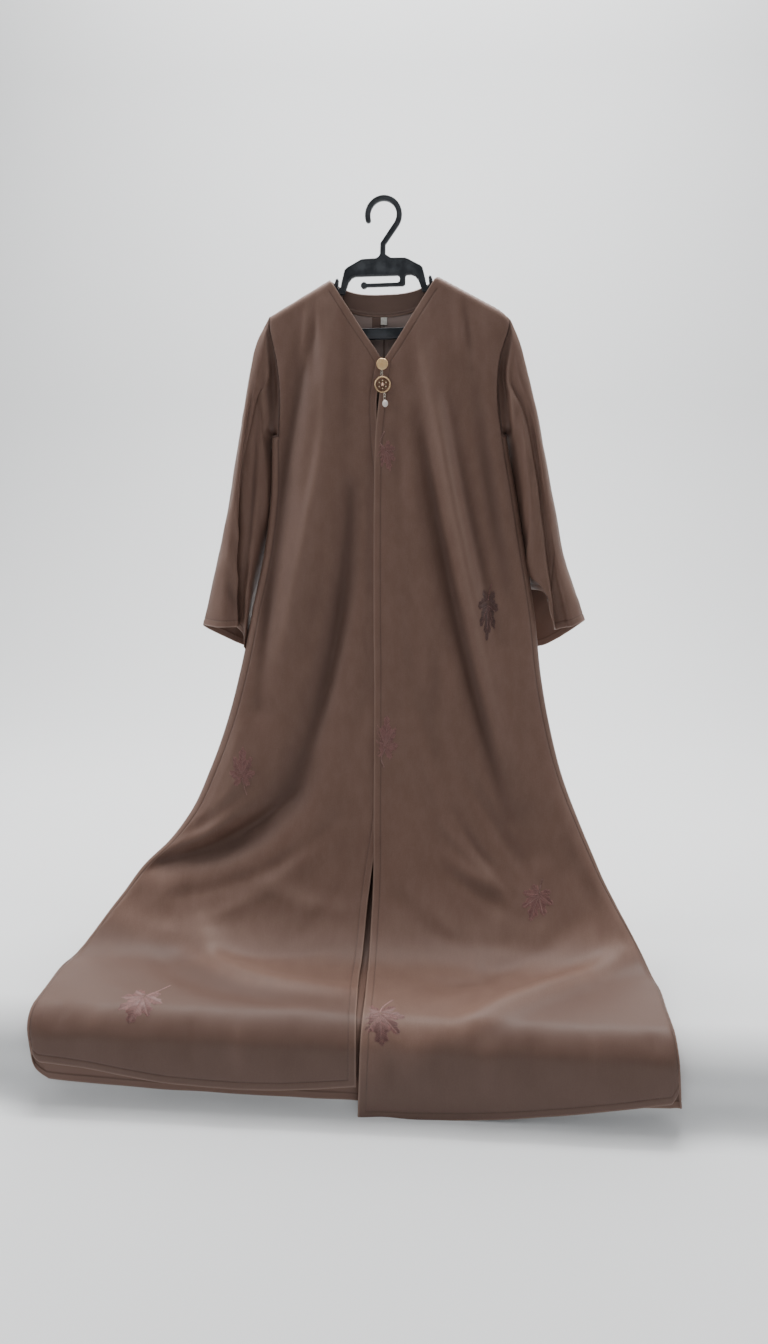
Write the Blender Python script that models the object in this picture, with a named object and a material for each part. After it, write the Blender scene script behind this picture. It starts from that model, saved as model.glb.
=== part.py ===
"""Open-fronted kaftan hanging on a moulded hanger, its skirt swept forward over a low step.

Metres, +Z up, -Y is the front and +X the wearer's left. The origin is the inside top of the
hanger's hook. Tables are in millimetres.

The body is one closed section that changes down a path: the path falls from the shoulders,
curves forward, lies flat and drops over an edge. A place on the body is given by its length
down that path and by its turn round the section, from 0 at the front edge, past the side
fold from 1 to 2, to 3 at the centre back.
"""
import math
from typing import NamedTuple

import bmesh
import bpy
import numpy as np
from mathutils import Matrix, Vector

MM = 0.001

# Cloth and seams
WALL = 0.0012
SEAM_GAP = 0.0003
LIFT_OVER = 0.0026
LIFT_BLEND = 0.045
CLEAR_INSIDE = 0.0046
FOLD_STEPS = 8
END_SWELL = 0.35
BACK_FOLD_DEPTH = 0.044
PATCH_GAP = 0.0005

# Band and tab inside the back neck
FACING_HALF = 0.0660
FACING_DROP = 0.0006
FACING_Z = -0.1722
FACING_RISE = 0.0120
FACING_COLUMNS = 9
FACING_ROWS = 4
LABEL_X = 0.0001
LABEL_WIDTH = 0.0097
LABEL_HEIGHT = 0.0113
LABEL_TOP_Z = -0.1735
LABEL_THICKNESS = 0.0010

# Path of the front, from the shoulder line to the hem
TOP_Y = -0.010
TOP_Z = -0.115
TOP_LENGTH = 0.010
LANDING_Y = -0.250
BED_Z = -1.1690
EDGE_Y = -0.415
EDGE_RADIUS = 0.045

# Shoulders, neck and hanger line
NECK_HALF = 0.086
NECK_Z = -0.1145
SHOULDER_SLOPE = 0.55
HANGER_TILT = 0.0175
SHOULDER_RADIUS = 0.012
SEAM_DEPTH = -0.0102
SHOULDER_GAP = 0.0006
NECK_RISE = 0.8
TOP_BIAS = 0.00002
LEVEL_LENGTH = 0.300
V_POINT_Z = -0.2430
BACK_NECK_Z = -0.1385
UNDERARM_Z = -0.360
SIDE_SPREAD = 1.3
SIDE_EXTRA = 0.006

# Rows and columns of the cloth
NECK_COLUMNS = 7
SHOULDER_COLUMNS = 9
BACK_SHARES = (0.0, 0.15, 0.30, 0.45)
BACK_NECK_COLUMNS = 6
ARMHOLE_ROWS = 6
HEM_ROWS = 3
SLEEVE_RINGS = 13
TOP_ROW_DROPS = (0.0, 0.0006, 0.0018, 0.005, 0.012)
UNDERARM_STEP = 0.008
UNDERARM_STAGGER = 0.0015
UNDERARM_ROW = len(TOP_ROW_DROPS) + ARMHOLE_ROWS - 1

# Sleeves
SLEEVE_KNOTS = np.array([0.0, 0.16, 0.33, 0.40, 0.52, 0.76])
SLEEVE_OUTER_SHARE = 0.30
SLEEVE_TUCK_SHARE = 0.13
SLEEVE_TUCK_DEPTH = 0.24

# Hanger
HANGER_THICKNESS = 0.008
HANGER_BEVEL = 0.0014
HOOK_RADIUS = 0.0250
HOOK_HALF = 0.0043
HOOK_LEAVES = -33.8
HOOK_ENDS = 197.0
HOOK_POINTS = 20
STEM_X = -0.0012
STEM_FOOT_Z = -0.0790
STEM_BEND_X = -0.0008
STEM_BEND_Z = -0.0640
ARM_END = 0.166
ARM_SLOPE = 0.562
DROOP_START = 0.176
ARM_DEPTH_NECK = 0.022
ARM_DEPTH_END = 0.013
BAR_TOP_Z = -0.1910
BAR_BOTTOM_Z = -0.2085
SEAT_CLEARANCE = 0.0013

# Clasp
BUTTON_RADIUS = 0.0090
BUTTON_THICKNESS = 0.0026
BUTTON_Z = -0.2490
MEDALLION_RADIUS = 0.0132
MEDALLION_THICKNESS = 0.0020
MEDALLION_Z = -0.2808
MEDALLION_PETALS = 6
MEDALLION_HOLE_RADIUS = 0.0064
PEARL_RADIUS = 0.0047
PEARL_HALF_HEIGHT = 0.0058
BUTTON_X = -0.0003
MEDALLION_X = 0.0006
UPPER_LINK_X = -0.0009
UPPER_LINK_Z = -0.26275
UPPER_LINK_HALF = 0.00435
LOWER_LINK_X = 0.0039
LOWER_LINK_Z = -0.29965
LOWER_LINK_HALF = 0.0053
LOWER_LINK_LEAN = 8.0
PEARL_X = 0.0051
PEARL_Z = -0.3108
PIECE_GAP = 0.0005
LINK_THICKNESS = 0.0012
LINK_HALF_WIDTH = 0.0028
LINK_RIM = 0.0013
LINK_BEVEL = 0.0003
MEDALLION_BEVEL = 0.0004
PETAL_HALF_LENGTH = 0.0026
PETAL_HALF_WIDTH = 0.0014
LOWER_LINK_STAND_OFF = 0.0026


class Section(NamedTuple):
    """One section of the body, in millimetres, at a length down the path."""
    length: float
    reach_right: float
    reach_left: float
    edge_over: float
    lap: float
    depth: float


SECTIONS = (
    Section(0, 192, 206, 3, -5, 22),
    Section(75, 192, 206, 3, -5, 24),
    Section(128, 182, 192, 2, -3, 27),
    Section(180, 178, 190, -4, -5, 30),
    Section(245, 182, 199, -10, 2, 36),
    Section(345, 186, 218, -12, 14, 44),
    Section(430, 197, 233, -12, 18, 46),
    Section(530, 217, 250, -11, 18, 46),
    Section(630, 237, 262, -9, 18, 46),
    Section(710, 257, 277, -8, 18, 45),
    Section(790, 284, 298, -7, 15, 42),
    Section(870, 320, 329, -6, 8, 38),
    Section(910, 349, 346, -5, 2, 34),
    Section(950, 388, 363, -4, -4, 29),
    Section(990, 415, 383, -4, -8, 23),
    Section(1071, 460, 420, -4, -11, 14),
    Section(1125, 476, 431, -2, -13, 9),
    Section(1203, 475, 431, 2, -12, 7),
    Section(1281, 477, 434, 3, -8, 10),
    Section(1400, 457, 442, 0, -3, 14),
)


class Fold(NamedTuple):
    """A soft ridge or, with a negative rise, a trough, bent over three places of the cloth."""
    start_x: float
    start_length: float
    bend_x: float
    bend_length: float
    end_x: float
    end_length: float
    start_spread: float
    end_spread: float
    rise: float


FRONT_FOLDS = (
    Fold(-92, 49, -84, 300, -182, 660, 15, 22, 11),
    Fold(-125, 95, -176, 330, -200, 690, 12, 17, -11),
    Fold(-95, 180, -104, 260, -122, 345, 9, 10, -5),
    Fold(-50, 330, -58, 600, -142, 830, 14, 20, -15),
    Fold(-128, 790, -178, 935, -400, 952, 20, 14, -16),
    Fold(-240, 740, -215, 880, -330, 925, 22, 16, 13),
    Fold(-213, 815, -262, 880, -330, 902, 9, 8, -6),
    Fold(70, 60, 96, 330, 228, 820, 13, 21, 12),
    Fold(100, 180, 140, 380, 190, 580, 10, 13, -8),
    Fold(62, 235, 120, 560, 245, 912, 13, 20, -14),
    Fold(140, 150, 168, 350, 216, 530, 9, 12, -6),
    Fold(42, 190, 56, 330, 64, 430, 10, 12, 4),
    Fold(90, 570, 93, 670, 102, 770, 10, 12, -5),
    Fold(136, 784, 196, 880, 256, 964, 9, 8, -5),
    Fold(118, 930, 168, 960, 218, 975, 12, 10, 6),
    Fold(-306, 974, -312, 1040, -306, 1115, 12, 14, -3),
    Fold(-274, 1050, -240, 1190, -20, 1182, 13, 12, 5),
    Fold(138, 1258, 240, 1180, 385, 1070, 16, 14, 7),
    Fold(44, 1288, 48, 1320, 46, 1350, 10, 9, -3),
    Fold(110, 1285, 113, 1320, 112, 1350, 10, 9, -3),
    Fold(-312, 1260, -316, 1290, -312, 1320, 12, 10, -3),
)

BACK_FOLDS = (
    Fold(-96, 80, -104, 330, -176, 640, 16, 22, -11),
    Fold(-60, 300, -76, 560, -150, 830, 16, 20, 11),
    Fold(-20, 420, -26, 640, -60, 860, 14, 18, -7),
    Fold(80, 90, 98, 330, 196, 700, 15, 22, -12),
    Fold(50, 320, 78, 600, 168, 860, 15, 20, 10),
    Fold(140, 180, 160, 380, 218, 600, 11, 15, 6),
)


class Hem(NamedTuple):
    """Height of the hem across a panel, as a share of the way from the centre to the side."""
    share: float
    front_right: float
    front_left: float
    back_right: float
    back_left: float


HEMS = (
    Hem(0.00, -1261, -1307, -1288, -1286),
    Hem(0.25, -1272, -1303, -1287, -1283),
    Hem(0.50, -1268, -1289, -1281, -1278),
    Hem(0.75, -1250, -1267, -1262, -1274),
    Hem(1.00, -1240, -1246, -1228, -1270),
)


class SleeveSection(NamedTuple):
    """One section of a sleeve: its outer edge, front fold, inner edge and back, in millimetres."""
    outer_x: float
    outer_z: float
    fold_x: float
    fold_z: float
    inner_x: float
    inner_z: float
    back_x: float
    back_z: float
    front_y: float
    back_y: float
    inner_y: float


RIGHT_SLEEVE = (
    SleeveSection(206, -214, 200, -290, 188, -367, 198, -296, -21, 12, 0),
    SleeveSection(219, -266, 210, -326, 179, -425, 205, -342, -25, 16, 9),
    SleeveSection(235, -352, 225, -396, 181, -478, 214, -418, -31, 18, 9),
    SleeveSection(252, -446, 234, -474, 192, -548, 225, -502, -38, 19, 9),
    SleeveSection(274, -545, 238, -560, 212, -626, 244, -596, -44, 21, 9),
    SleeveSection(306, -671, 238, -669, 224, -716, 264, -702, -50, 21, 9),
)

LEFT_SLEEVE = (
    SleeveSection(219, -222, 212, -296, 206, -367, 212, -302, -24, 12, 0),
    SleeveSection(233, -272, 228, -330, 206, -424, 221, -345, -28, 16, 9),
    SleeveSection(253, -350, 243, -394, 216, -476, 238, -415, -33, 18, 9),
    SleeveSection(273, -446, 257, -470, 230, -530, 258, -492, -38, 21, 8),
    SleeveSection(297, -556, 270, -566, 254, -578, 278, -590, -43, 24, -14),
    SleeveSection(333, -656, 284, -670, 262, -604, 288, -694, -48, 28, -16),
)


class Side(NamedTuple):
    """A side of the garment: its sign along X and the columns of the tables that it reads."""
    name: str
    sign: float
    reach: str
    front_hem: str
    back_hem: str
    seam_turn: float
    droop: float
    sleeve: tuple


RIGHT = Side("right", -1.0, "reach_right", "front_right", "back_right", 35 / 180, 0.0, RIGHT_SLEEVE)
LEFT = Side("left", 1.0, "reach_left", "front_left", "back_left", 48 / 180, 9.5, LEFT_SLEEVE)


def smoothstep(value):
    """Ease from 0 to 1."""
    value = np.clip(value, 0.0, 1.0)
    return value * value * (3.0 - 2.0 * value)


def through(rows, key, column, at):
    """Smooth curve through one column of a table, read at places along its key column."""
    keys = np.array([getattr(row, key) for row in rows], float)
    values = np.array([getattr(row, column) for row in rows], float)
    slopes = np.gradient(values, keys)
    at = np.clip(np.asarray(at, float), keys[0], keys[-1])
    index = np.clip(np.searchsorted(keys, at, side="right") - 1, 0, len(keys) - 2)
    span = keys[index + 1] - keys[index]
    part = (at - keys[index]) / span
    rise = part * part * (3.0 - 2.0 * part)
    leave = part * (1.0 - part) ** 2 * span
    arrive = part * part * (part - 1.0) * span
    return (values[index] * (1.0 - rise) + values[index + 1] * rise
            + slopes[index] * leave + slopes[index + 1] * arrive)


def section_value(column, length):
    """A column of the body's sections, in metres, at lengths in metres."""
    return through(SECTIONS, "length", column, np.asarray(length) / MM) * MM


def hanging_scale(span, rise):
    """Scale of the hanging curve that rises by this much over this span."""
    low, high = 0.01, 2.0
    for _ in range(80):
        middle = (low + high) / 2.0
        if middle * (math.cosh(span / middle) - 1.0) > rise:
            low = middle
        else:
            high = middle
    return (low + high) / 2.0


CURVE_SPAN = TOP_Y - LANDING_Y
CURVE_SCALE = hanging_scale(CURVE_SPAN, TOP_Z - BED_Z)
CURVE_LENGTH = CURVE_SCALE * math.sinh(CURVE_SPAN / CURVE_SCALE)
FLAT_LENGTH = LANDING_Y - EDGE_Y - EDGE_RADIUS
EDGE_LENGTH = EDGE_RADIUS * math.pi / 2.0
DROP_START = CURVE_LENGTH + FLAT_LENGTH + EDGE_LENGTH


def path_frame(length):
    """Point and outward normal of the front's path, as y, z, normal y and normal z."""
    length = np.asarray(length, float)
    left = np.clip(CURVE_LENGTH - length, 0.0, None)
    run = CURVE_SCALE * np.arcsinh(left / CURVE_SCALE)
    y = LANDING_Y + run - np.clip(length - CURVE_LENGTH, 0.0, FLAT_LENGTH)
    z = BED_Z + CURVE_SCALE * (np.cosh(run / CURVE_SCALE) - 1.0)
    bend = np.clip((length - CURVE_LENGTH - FLAT_LENGTH) / EDGE_RADIUS, 0.0, math.pi / 2.0)
    y = y - EDGE_RADIUS * np.sin(bend)
    z = z - EDGE_RADIUS * (1.0 - np.cos(bend)) - np.clip(length - DROP_START, 0.0, None)
    angle = np.arctan(left / CURVE_SCALE) + bend
    return y, z, -np.sin(angle), np.cos(angle)


def length_at(height):
    """Length down the path at which it reaches a height."""
    low = np.zeros_like(np.asarray(height, float))
    high = low + DROP_START + 0.2
    for _ in range(50):
        middle = (low + high) / 2.0
        above = path_frame(middle)[1] > height
        low = np.where(above, middle, low)
        high = np.where(above, high, middle)
    return (low + high) / 2.0


def shoulder_height(side, reach):
    """Height of the shoulder seam at a distance from the centre plane."""
    past = np.clip(reach - DROOP_START, 0.0, None)
    drop = SHOULDER_SLOPE * np.clip(reach - NECK_HALF, 0.0, None)
    return NECK_Z - drop - side.droop * past * past + HANGER_TILT * side.sign * reach


def back_neck_height(side, reach):
    """Height of the back neckline at a distance from the centre plane."""
    rise = (NECK_Z - BACK_NECK_Z) * (reach / NECK_HALF) ** 3
    return BACK_NECK_Z + rise + HANGER_TILT * side.sign * reach


def fold_rise(folds, x, length):
    """Height of the folds above the plain cloth, at places given by x and length."""
    x, length = np.broadcast_arrays(np.asarray(x, float) / MM, np.asarray(length, float) / MM)
    total = np.zeros(x.shape)
    for fold in folds:
        part = np.arange(FOLD_STEPS + 1) / FOLD_STEPS
        first, second, third = (1 - part) ** 2, 2 * part * (1 - part), part * part
        line_x = first * fold.start_x + second * fold.bend_x + third * fold.end_x
        line_l = first * fold.start_length + second * fold.bend_length + third * fold.end_length
        nearest = np.full(x.shape, np.inf)
        along = np.zeros(x.shape)
        for step in range(FOLD_STEPS):
            run_x = line_x[step + 1] - line_x[step]
            run_l = line_l[step + 1] - line_l[step]
            off_x, off_l = x - line_x[step], length - line_l[step]
            share = np.clip((off_x * run_x + off_l * run_l) / (run_x ** 2 + run_l ** 2), 0.0, 1.0)
            gap = (off_x - share * run_x) ** 2 + (off_l - share * run_l) ** 2
            closer = gap < nearest
            nearest = np.where(closer, gap, nearest)
            along = np.where(closer, (step + share) / FOLD_STEPS, along)
        spread = fold.start_spread + (fold.end_spread - fold.start_spread) * along
        swell = END_SWELL + (1.0 - END_SWELL) * np.sin(math.pi * along)
        total += fold.rise * swell * np.exp(-nearest / (2.0 * spread * spread))
    return total * MM


def front_edge(side, length):
    """Where a front panel's free edge lies along X: the left panel laps over the right one."""
    over = section_value("edge_over", length)
    if side is LEFT:
        return over
    return over + section_value("lap", length)


def section_sizes(side, length):
    """Distance from the centre plane to the side fold, the fold's bulge and the whole depth."""
    depth = section_value("depth", length)
    bulge = SIDE_SPREAD * depth / 2.0 + SIDE_EXTRA
    return section_value(side.reach, length) - bulge, bulge, depth


def across(side, turn, length):
    """Distance from the centre plane at a turn round the section."""
    flat, bulge, _ = section_sizes(side, length)
    edge = side.sign * front_edge(side, length)
    on_front = edge + (flat - edge) * np.clip(turn, 0.0, 1.0)
    on_back = flat * np.clip(3.0 - turn, 0.0, 1.0)
    angle = math.pi * np.clip(turn - 1.0, 0.0, 1.0)
    return np.where(turn < 1.0, on_front, on_back) + bulge * np.sin(angle)


def body_point(side, turn, length):
    """Points on the outside of the body at a turn round its section and a length down it."""
    turn, length = np.broadcast_arrays(np.asarray(turn, float), np.asarray(length, float))
    flat, bulge, depth = section_sizes(side, length)
    reach = across(side, turn, length)
    x = side.sign * reach
    angle = math.pi * np.clip(turn - 1.0, 0.0, 1.0)
    out = depth / 2.0 * (np.cos(angle) - 1.0)

    on_front = 1.0 - smoothstep(turn - 1.0)
    fade = 1.0 - smoothstep((reach - flat) / bulge)
    room = depth - CLEAR_INSIDE
    front_rise = fold_rise(FRONT_FOLDS, x, length)
    front_rise = np.where(front_rise < 0.0, room * np.tanh(front_rise / room), front_rise)
    back_rise = fold_rise(BACK_FOLDS, x, length) * np.clip(depth / BACK_FOLD_DEPTH, 0.0, 1.0) ** 2
    out = out + fade * (on_front * front_rise + (1.0 - on_front) * back_rise)

    near_edge = 1.0 - smoothstep(np.abs(x - front_edge(LEFT, length)) / LIFT_BLEND)
    lift = LIFT_OVER / 2.0 if side is LEFT else -LIFT_OVER / 2.0
    out = out + np.where(turn < 1.0, near_edge * lift, 0.0)

    y, z, normal_y, normal_z = path_frame(length)
    normal_z = normal_z * smoothstep(length / LEVEL_LENGTH)
    top = shoulder_height(side, reach) + NECK_RISE * np.clip(NECK_HALF - reach, 0.0, None)
    below = np.clip((top - z + TOP_BIAS) / SHOULDER_RADIUS, 0.0, 1.0)
    round_over = 1.0 - np.sqrt(1.0 - (1.0 - below) ** 2)
    seam = SEAM_DEPTH + np.where(turn < 1.5, 0.5, -0.5) * SHOULDER_GAP
    out = out * (1.0 - round_over) + seam * round_over
    return np.stack([x, y + normal_y * out, z + normal_z * out], axis=-1)


def body_wall(side, turn, length, inset=0.0, thickness=WALL):
    """Outer and inner points of a wall of cloth on the body, or of one laid inside it."""
    step_turn, step_length = 0.004, 0.0001
    outer = body_point(side, turn, length)
    around = body_point(side, turn + step_turn, length) - body_point(side, turn - step_turn, length)
    down = body_point(side, turn, length + step_length) - outer
    normal = np.cross(down, around) * side.sign
    normal /= np.linalg.norm(normal, axis=-1, keepdims=True)
    return outer - inset * normal, outer - (inset + thickness) * normal


def seam_shift(side, turn, length):
    """Turn round the section that takes up half of the gap at a seam."""
    step = 0.01
    apart = body_point(side, turn + step, length) - body_point(side, turn - step, length)
    return SEAM_GAP / 2.0 * 2.0 * step / np.linalg.norm(apart, axis=-1)


def new_object(name, mesh, material):
    """Put a mesh into the scene with its material."""
    item = bpy.data.objects.new(name, mesh)
    bpy.context.scene.collection.objects.link(item)
    mesh.materials.append(material)
    return item


def finish_mesh(name, shape, sharp_degrees=40.0):
    """Turn a closed bmesh into a mesh with outward faces, smooth but for its sharp edges."""
    bmesh.ops.recalc_face_normals(shape, faces=shape.faces)
    mesh = bpy.data.meshes.new(name)
    shape.to_mesh(mesh)
    shape.free()
    mesh.shade_smooth()
    mesh.set_sharp_from_angle(angle=math.radians(sharp_degrees))
    return mesh


def cloth(name, outer, inner, material, ring=False):
    """Closed wall of cloth between two grids of points, open or joined round as a tube."""
    shape = bmesh.new()
    rows, columns = outer.shape[:2]
    sheets = [[[shape.verts.new(Vector(point)) for point in row] for row in grid]
              for grid in (outer, inner)]
    last = columns if ring else columns - 1
    for sheet in sheets:
        for row in range(rows - 1):
            for column in range(last):
                after = (column + 1) % columns
                shape.faces.new((sheet[row][column], sheet[row][after],
                                 sheet[row + 1][after], sheet[row + 1][column]))
    for row in (0, rows - 1):
        for column in range(last):
            after = (column + 1) % columns
            shape.faces.new((sheets[0][row][column], sheets[0][row][after],
                             sheets[1][row][after], sheets[1][row][column]))
    if not ring:
        for column in (0, columns - 1):
            for row in range(rows - 1):
                shape.faces.new((sheets[0][row][column], sheets[0][row + 1][column],
                                 sheets[1][row + 1][column], sheets[1][row][column]))
    return new_object(name, finish_mesh(name, shape), material)


class RowRun(NamedTuple):
    """A run of evenly spaced rows of the skirt, that ends at a length down the path."""
    end: float
    rows: int


ROW_RUNS = (
    RowRun(0.760, 14),
    RowRun(1.000, 10),
    RowRun(CURVE_LENGTH + FLAT_LENGTH - 0.002, 5),
    RowRun(DROP_START + 0.002, 5),
)


def top_lengths(side, turns, edge_height):
    """Length down the path at which each column meets an edge whose height depends on X."""
    lengths = np.full(len(turns), TOP_LENGTH)
    for _ in range(12):
        lengths = length_at(edge_height(side, across(side, turns, lengths)))
    return lengths


def column_lengths(starts, side_start, hem, hem_shares):
    """Length down the path of each row in each column, from the top edge to the hem.

    The rows between the underarm and the drop have the same length in every column.
    """
    ends = length_at(through(HEMS, "share", hem, hem_shares) * MM)[None, :]
    underarm = float(length_at(UNDERARM_Z))
    whole = underarm - side_start
    drops = np.concatenate([TOP_ROW_DROPS[:-1], np.linspace(TOP_ROW_DROPS[-1], whole, ARMHOLE_ROWS + 1)])
    upper = starts + drops[:, None] / whole * (underarm - starts[None, :])
    skirt = [underarm + UNDERARM_STEP]
    for run in ROW_RUNS:
        skirt += list(np.linspace(skirt[-1], run.end, run.rows + 1)[1:])
    middle = np.repeat(np.array(skirt)[:, None], len(starts), axis=1)
    shares = (np.arange(HEM_ROWS) + 1.0)[:, None] / HEM_ROWS
    lower = skirt[-1] + shares * (ends - skirt[-1])
    return np.concatenate([upper, middle, lower])


def front_panel(side, material):
    """One front, from its free edge and neck slope to its shoulder, armhole and side seam."""
    seam = 1.0 + side.seam_turn
    edge = side.sign * float(front_edge(side, TOP_LENGTH))
    flat = float(section_sizes(side, TOP_LENGTH)[0])
    neck = (NECK_HALF - edge) / (flat - edge)
    slope = np.arange(NECK_COLUMNS) / NECK_COLUMNS
    shoulder = np.arange(SHOULDER_COLUMNS + 1) / SHOULDER_COLUMNS
    turns = np.concatenate([neck * slope, neck + (seam - neck) * shoulder])
    neck_top = float(shoulder_height(side, NECK_HALF))
    starts = top_lengths(side, turns, shoulder_height)
    starts[:NECK_COLUMNS] = length_at(V_POINT_Z + (neck_top - V_POINT_Z) * slope)
    lengths = column_lengths(starts, starts[-1], side.front_hem, turns / seam)
    turn_grid = np.repeat(turns[None, :], len(lengths), axis=0)
    turn_grid[:, -1] -= seam_shift(side, turn_grid[:, -1], lengths[:, -1])
    outer, inner = body_wall(side, turn_grid, lengths)
    cloth("front_" + side.name + "_panel", outer, inner, material)
    return lengths[:, -1], outer[:, -1], inner[:, -1]


def back_panel(side, edge_lengths, material):
    """One half of the back, from the side seam, and the armhole above it, to the centre back."""
    seam = 1.0 + side.seam_turn
    armhole = 2.0 - side.seam_turn
    flat = float(section_sizes(side, TOP_LENGTH)[0])
    neck_share = (3.0 - NECK_HALF / flat - armhole) / (3.0 - armhole)
    before = BACK_SHARES + ((BACK_SHARES[-1] + neck_share) / 2.0,)
    after = neck_share + (1.0 - neck_share) * np.arange(BACK_NECK_COLUMNS + 1) / BACK_NECK_COLUMNS
    shares = np.concatenate([before, after])
    top_turns = armhole + (3.0 - armhole) * shares
    starts = top_lengths(side, top_turns, shoulder_height)
    starts[-BACK_NECK_COLUMNS:] = top_lengths(side, top_turns[-BACK_NECK_COLUMNS:], back_neck_height)
    lengths = column_lengths(starts, starts[0], side.back_hem, 1.0 - shares)
    lengths[:, 0] = edge_lengths
    turn_grid = seam + (3.0 - seam) * np.repeat(shares[None, :], len(lengths), axis=0)
    upper = UNDERARM_ROW + 1
    turn_grid[:upper] = top_turns[None, :]
    turn_grid[UNDERARM_ROW, :3] = armhole
    lengths[UNDERARM_ROW, 1:3] = lengths[UNDERARM_ROW, 0] + np.array([1.0, 2.0]) * UNDERARM_STAGGER
    turn_grid[:, 0] += seam_shift(side, turn_grid[:, 0], lengths[:, 0])
    turn_grid[:, -1] -= seam_shift(side, np.full(len(lengths), 2.98), lengths[:, -1])
    outer, inner = body_wall(side, turn_grid, lengths)
    inner[UNDERARM_ROW:upper + 1, :3, 2] -= WALL
    cloth("back_" + side.name + "_panel", outer, inner, material)
    return outer[:upper, 0], inner[:upper, 0]


def closed_curve(knots, points, at):
    """Smooth closed curve through points at their knots, read at places from 0 to 1."""
    keys = np.concatenate([[knots[-1] - 1.0], knots, [1.0 + knots[0], 1.0 + knots[1]]])
    values = np.concatenate([points[-1:], points, points[:2]])
    slopes = np.gradient(values, keys, axis=0)
    return blend_through(keys, values, slopes, at)


def blend_through(keys, values, slopes, at):
    """Cubic curve through values with given slopes, read at places along their keys."""
    index = np.clip(np.searchsorted(keys, at, side="right") - 1, 0, len(keys) - 2)
    span = (keys[index + 1] - keys[index])
    part = (at - keys[index]) / span
    shape = (-1,) + (1,) * (values.ndim - 1)
    span, part = span.reshape(shape), part.reshape(shape)
    rise = part * part * (3.0 - 2.0 * part)
    return (values[index] * (1.0 - rise) + values[index + 1] * rise
            + slopes[index] * part * (1.0 - part) ** 2 * span
            + slopes[index + 1] * part * part * (part - 1.0) * span)


def sleeve_ring(side, section, at):
    """Points round one section of a sleeve: down its front, past the fold, and up its back."""
    width = section.outer_x - section.fold_x
    tuck_x = section.fold_x + SLEEVE_TUCK_SHARE * width
    tuck_y = section.front_y + SLEEVE_TUCK_DEPTH * width
    corners = np.array([
        (section.outer_x, SLEEVE_OUTER_SHARE * section.front_y, section.outer_z),
        ((section.outer_x + section.fold_x) / 2.0, section.front_y,
         (section.outer_z + section.fold_z) / 2.0),
        (section.fold_x, section.front_y, section.fold_z),
        (tuck_x, tuck_y, section.fold_z - 4.0),
        (section.inner_x, section.inner_y, section.inner_z),
        (section.back_x, section.back_y, section.back_z),
    ]) * MM
    corners[:, 0] *= side.sign
    return closed_curve(SLEEVE_KNOTS, corners, at)


def sleeve(side, front_outer, front_inner, back_outer, back_inner, material):
    """One sleeve: a tube from the armhole's edges to the cuff, folded along its front."""
    half = len(back_outer)
    gap = np.array([side.sign * SEAM_GAP, 0.0, 0.0])
    first = np.concatenate([front_outer[:half], back_outer[::-1]]) + gap
    first_inner = np.concatenate([front_inner[:half], back_inner[::-1]]) + gap
    first_inner[half - 1:half + 1, 2] = first[half - 1:half + 1, 2] + WALL
    at = np.concatenate([np.linspace(0.02, 0.50, half), np.linspace(0.54, 0.98, half)])
    stations = np.stack([first] + [sleeve_ring(side, section, at) for section in side.sleeve])
    keys = np.arange(len(stations), dtype=float)
    slopes = np.gradient(stations, keys, axis=0)
    places = np.linspace(0.0, keys[-1], SLEEVE_RINGS)
    outer = blend_through(keys, stations, slopes, places)
    round_step = np.roll(outer, -1, axis=1) - np.roll(outer, 1, axis=1)
    down_step = np.gradient(outer, axis=0)
    normal = np.cross(round_step, down_step) * side.sign
    normal /= np.linalg.norm(normal, axis=-1, keepdims=True)
    inner = outer - WALL * normal
    inner[0] = first_inner
    cloth("sleeve_" + side.name, outer, inner, material, ring=True)


def inside_back(name, xs, tops, bottoms, rows, inset, thickness, material):
    """A patch sewn inside the back, on both sides of its centre seam."""
    outer, inner = [], []
    for x, top, bottom in zip(xs, tops, bottoms):
        side = LEFT if x >= 0.0 else RIGHT
        lengths = length_at(np.linspace(top, bottom, rows))
        turns = 3.0 - np.maximum(abs(x), MM) / section_sizes(side, lengths)[0]
        over, under = body_wall(side, turns, lengths, inset, thickness)
        over[:, 0] = under[:, 0] = x
        outer.append(over)
        inner.append(under)
    cloth(name, np.stack(outer, axis=1), np.stack(inner, axis=1), material)


def neck_facing(material):
    """The curved band inside the back neck."""
    xs = np.linspace(-FACING_HALF, FACING_HALF, FACING_COLUMNS)
    tops = [float(back_neck_height(LEFT if x >= 0.0 else RIGHT, abs(x))) - FACING_DROP for x in xs]
    bottoms = FACING_Z + FACING_RISE * (np.abs(xs) / FACING_HALF) ** 2 + HANGER_TILT * xs
    inside_back("back_neck_facing", xs, tops, bottoms, FACING_ROWS, WALL + PATCH_GAP, WALL, material)


def label(material):
    """The small bare tab that hangs from the facing."""
    xs = np.linspace(LABEL_X - LABEL_WIDTH / 2.0, LABEL_X + LABEL_WIDTH / 2.0, 3)
    tops, bottoms = [LABEL_TOP_Z] * 3, [LABEL_TOP_Z - LABEL_HEIGHT] * 3
    inside_back("label", xs, tops, bottoms, 3, WALL + PATCH_GAP, LABEL_THICKNESS, material)


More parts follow.
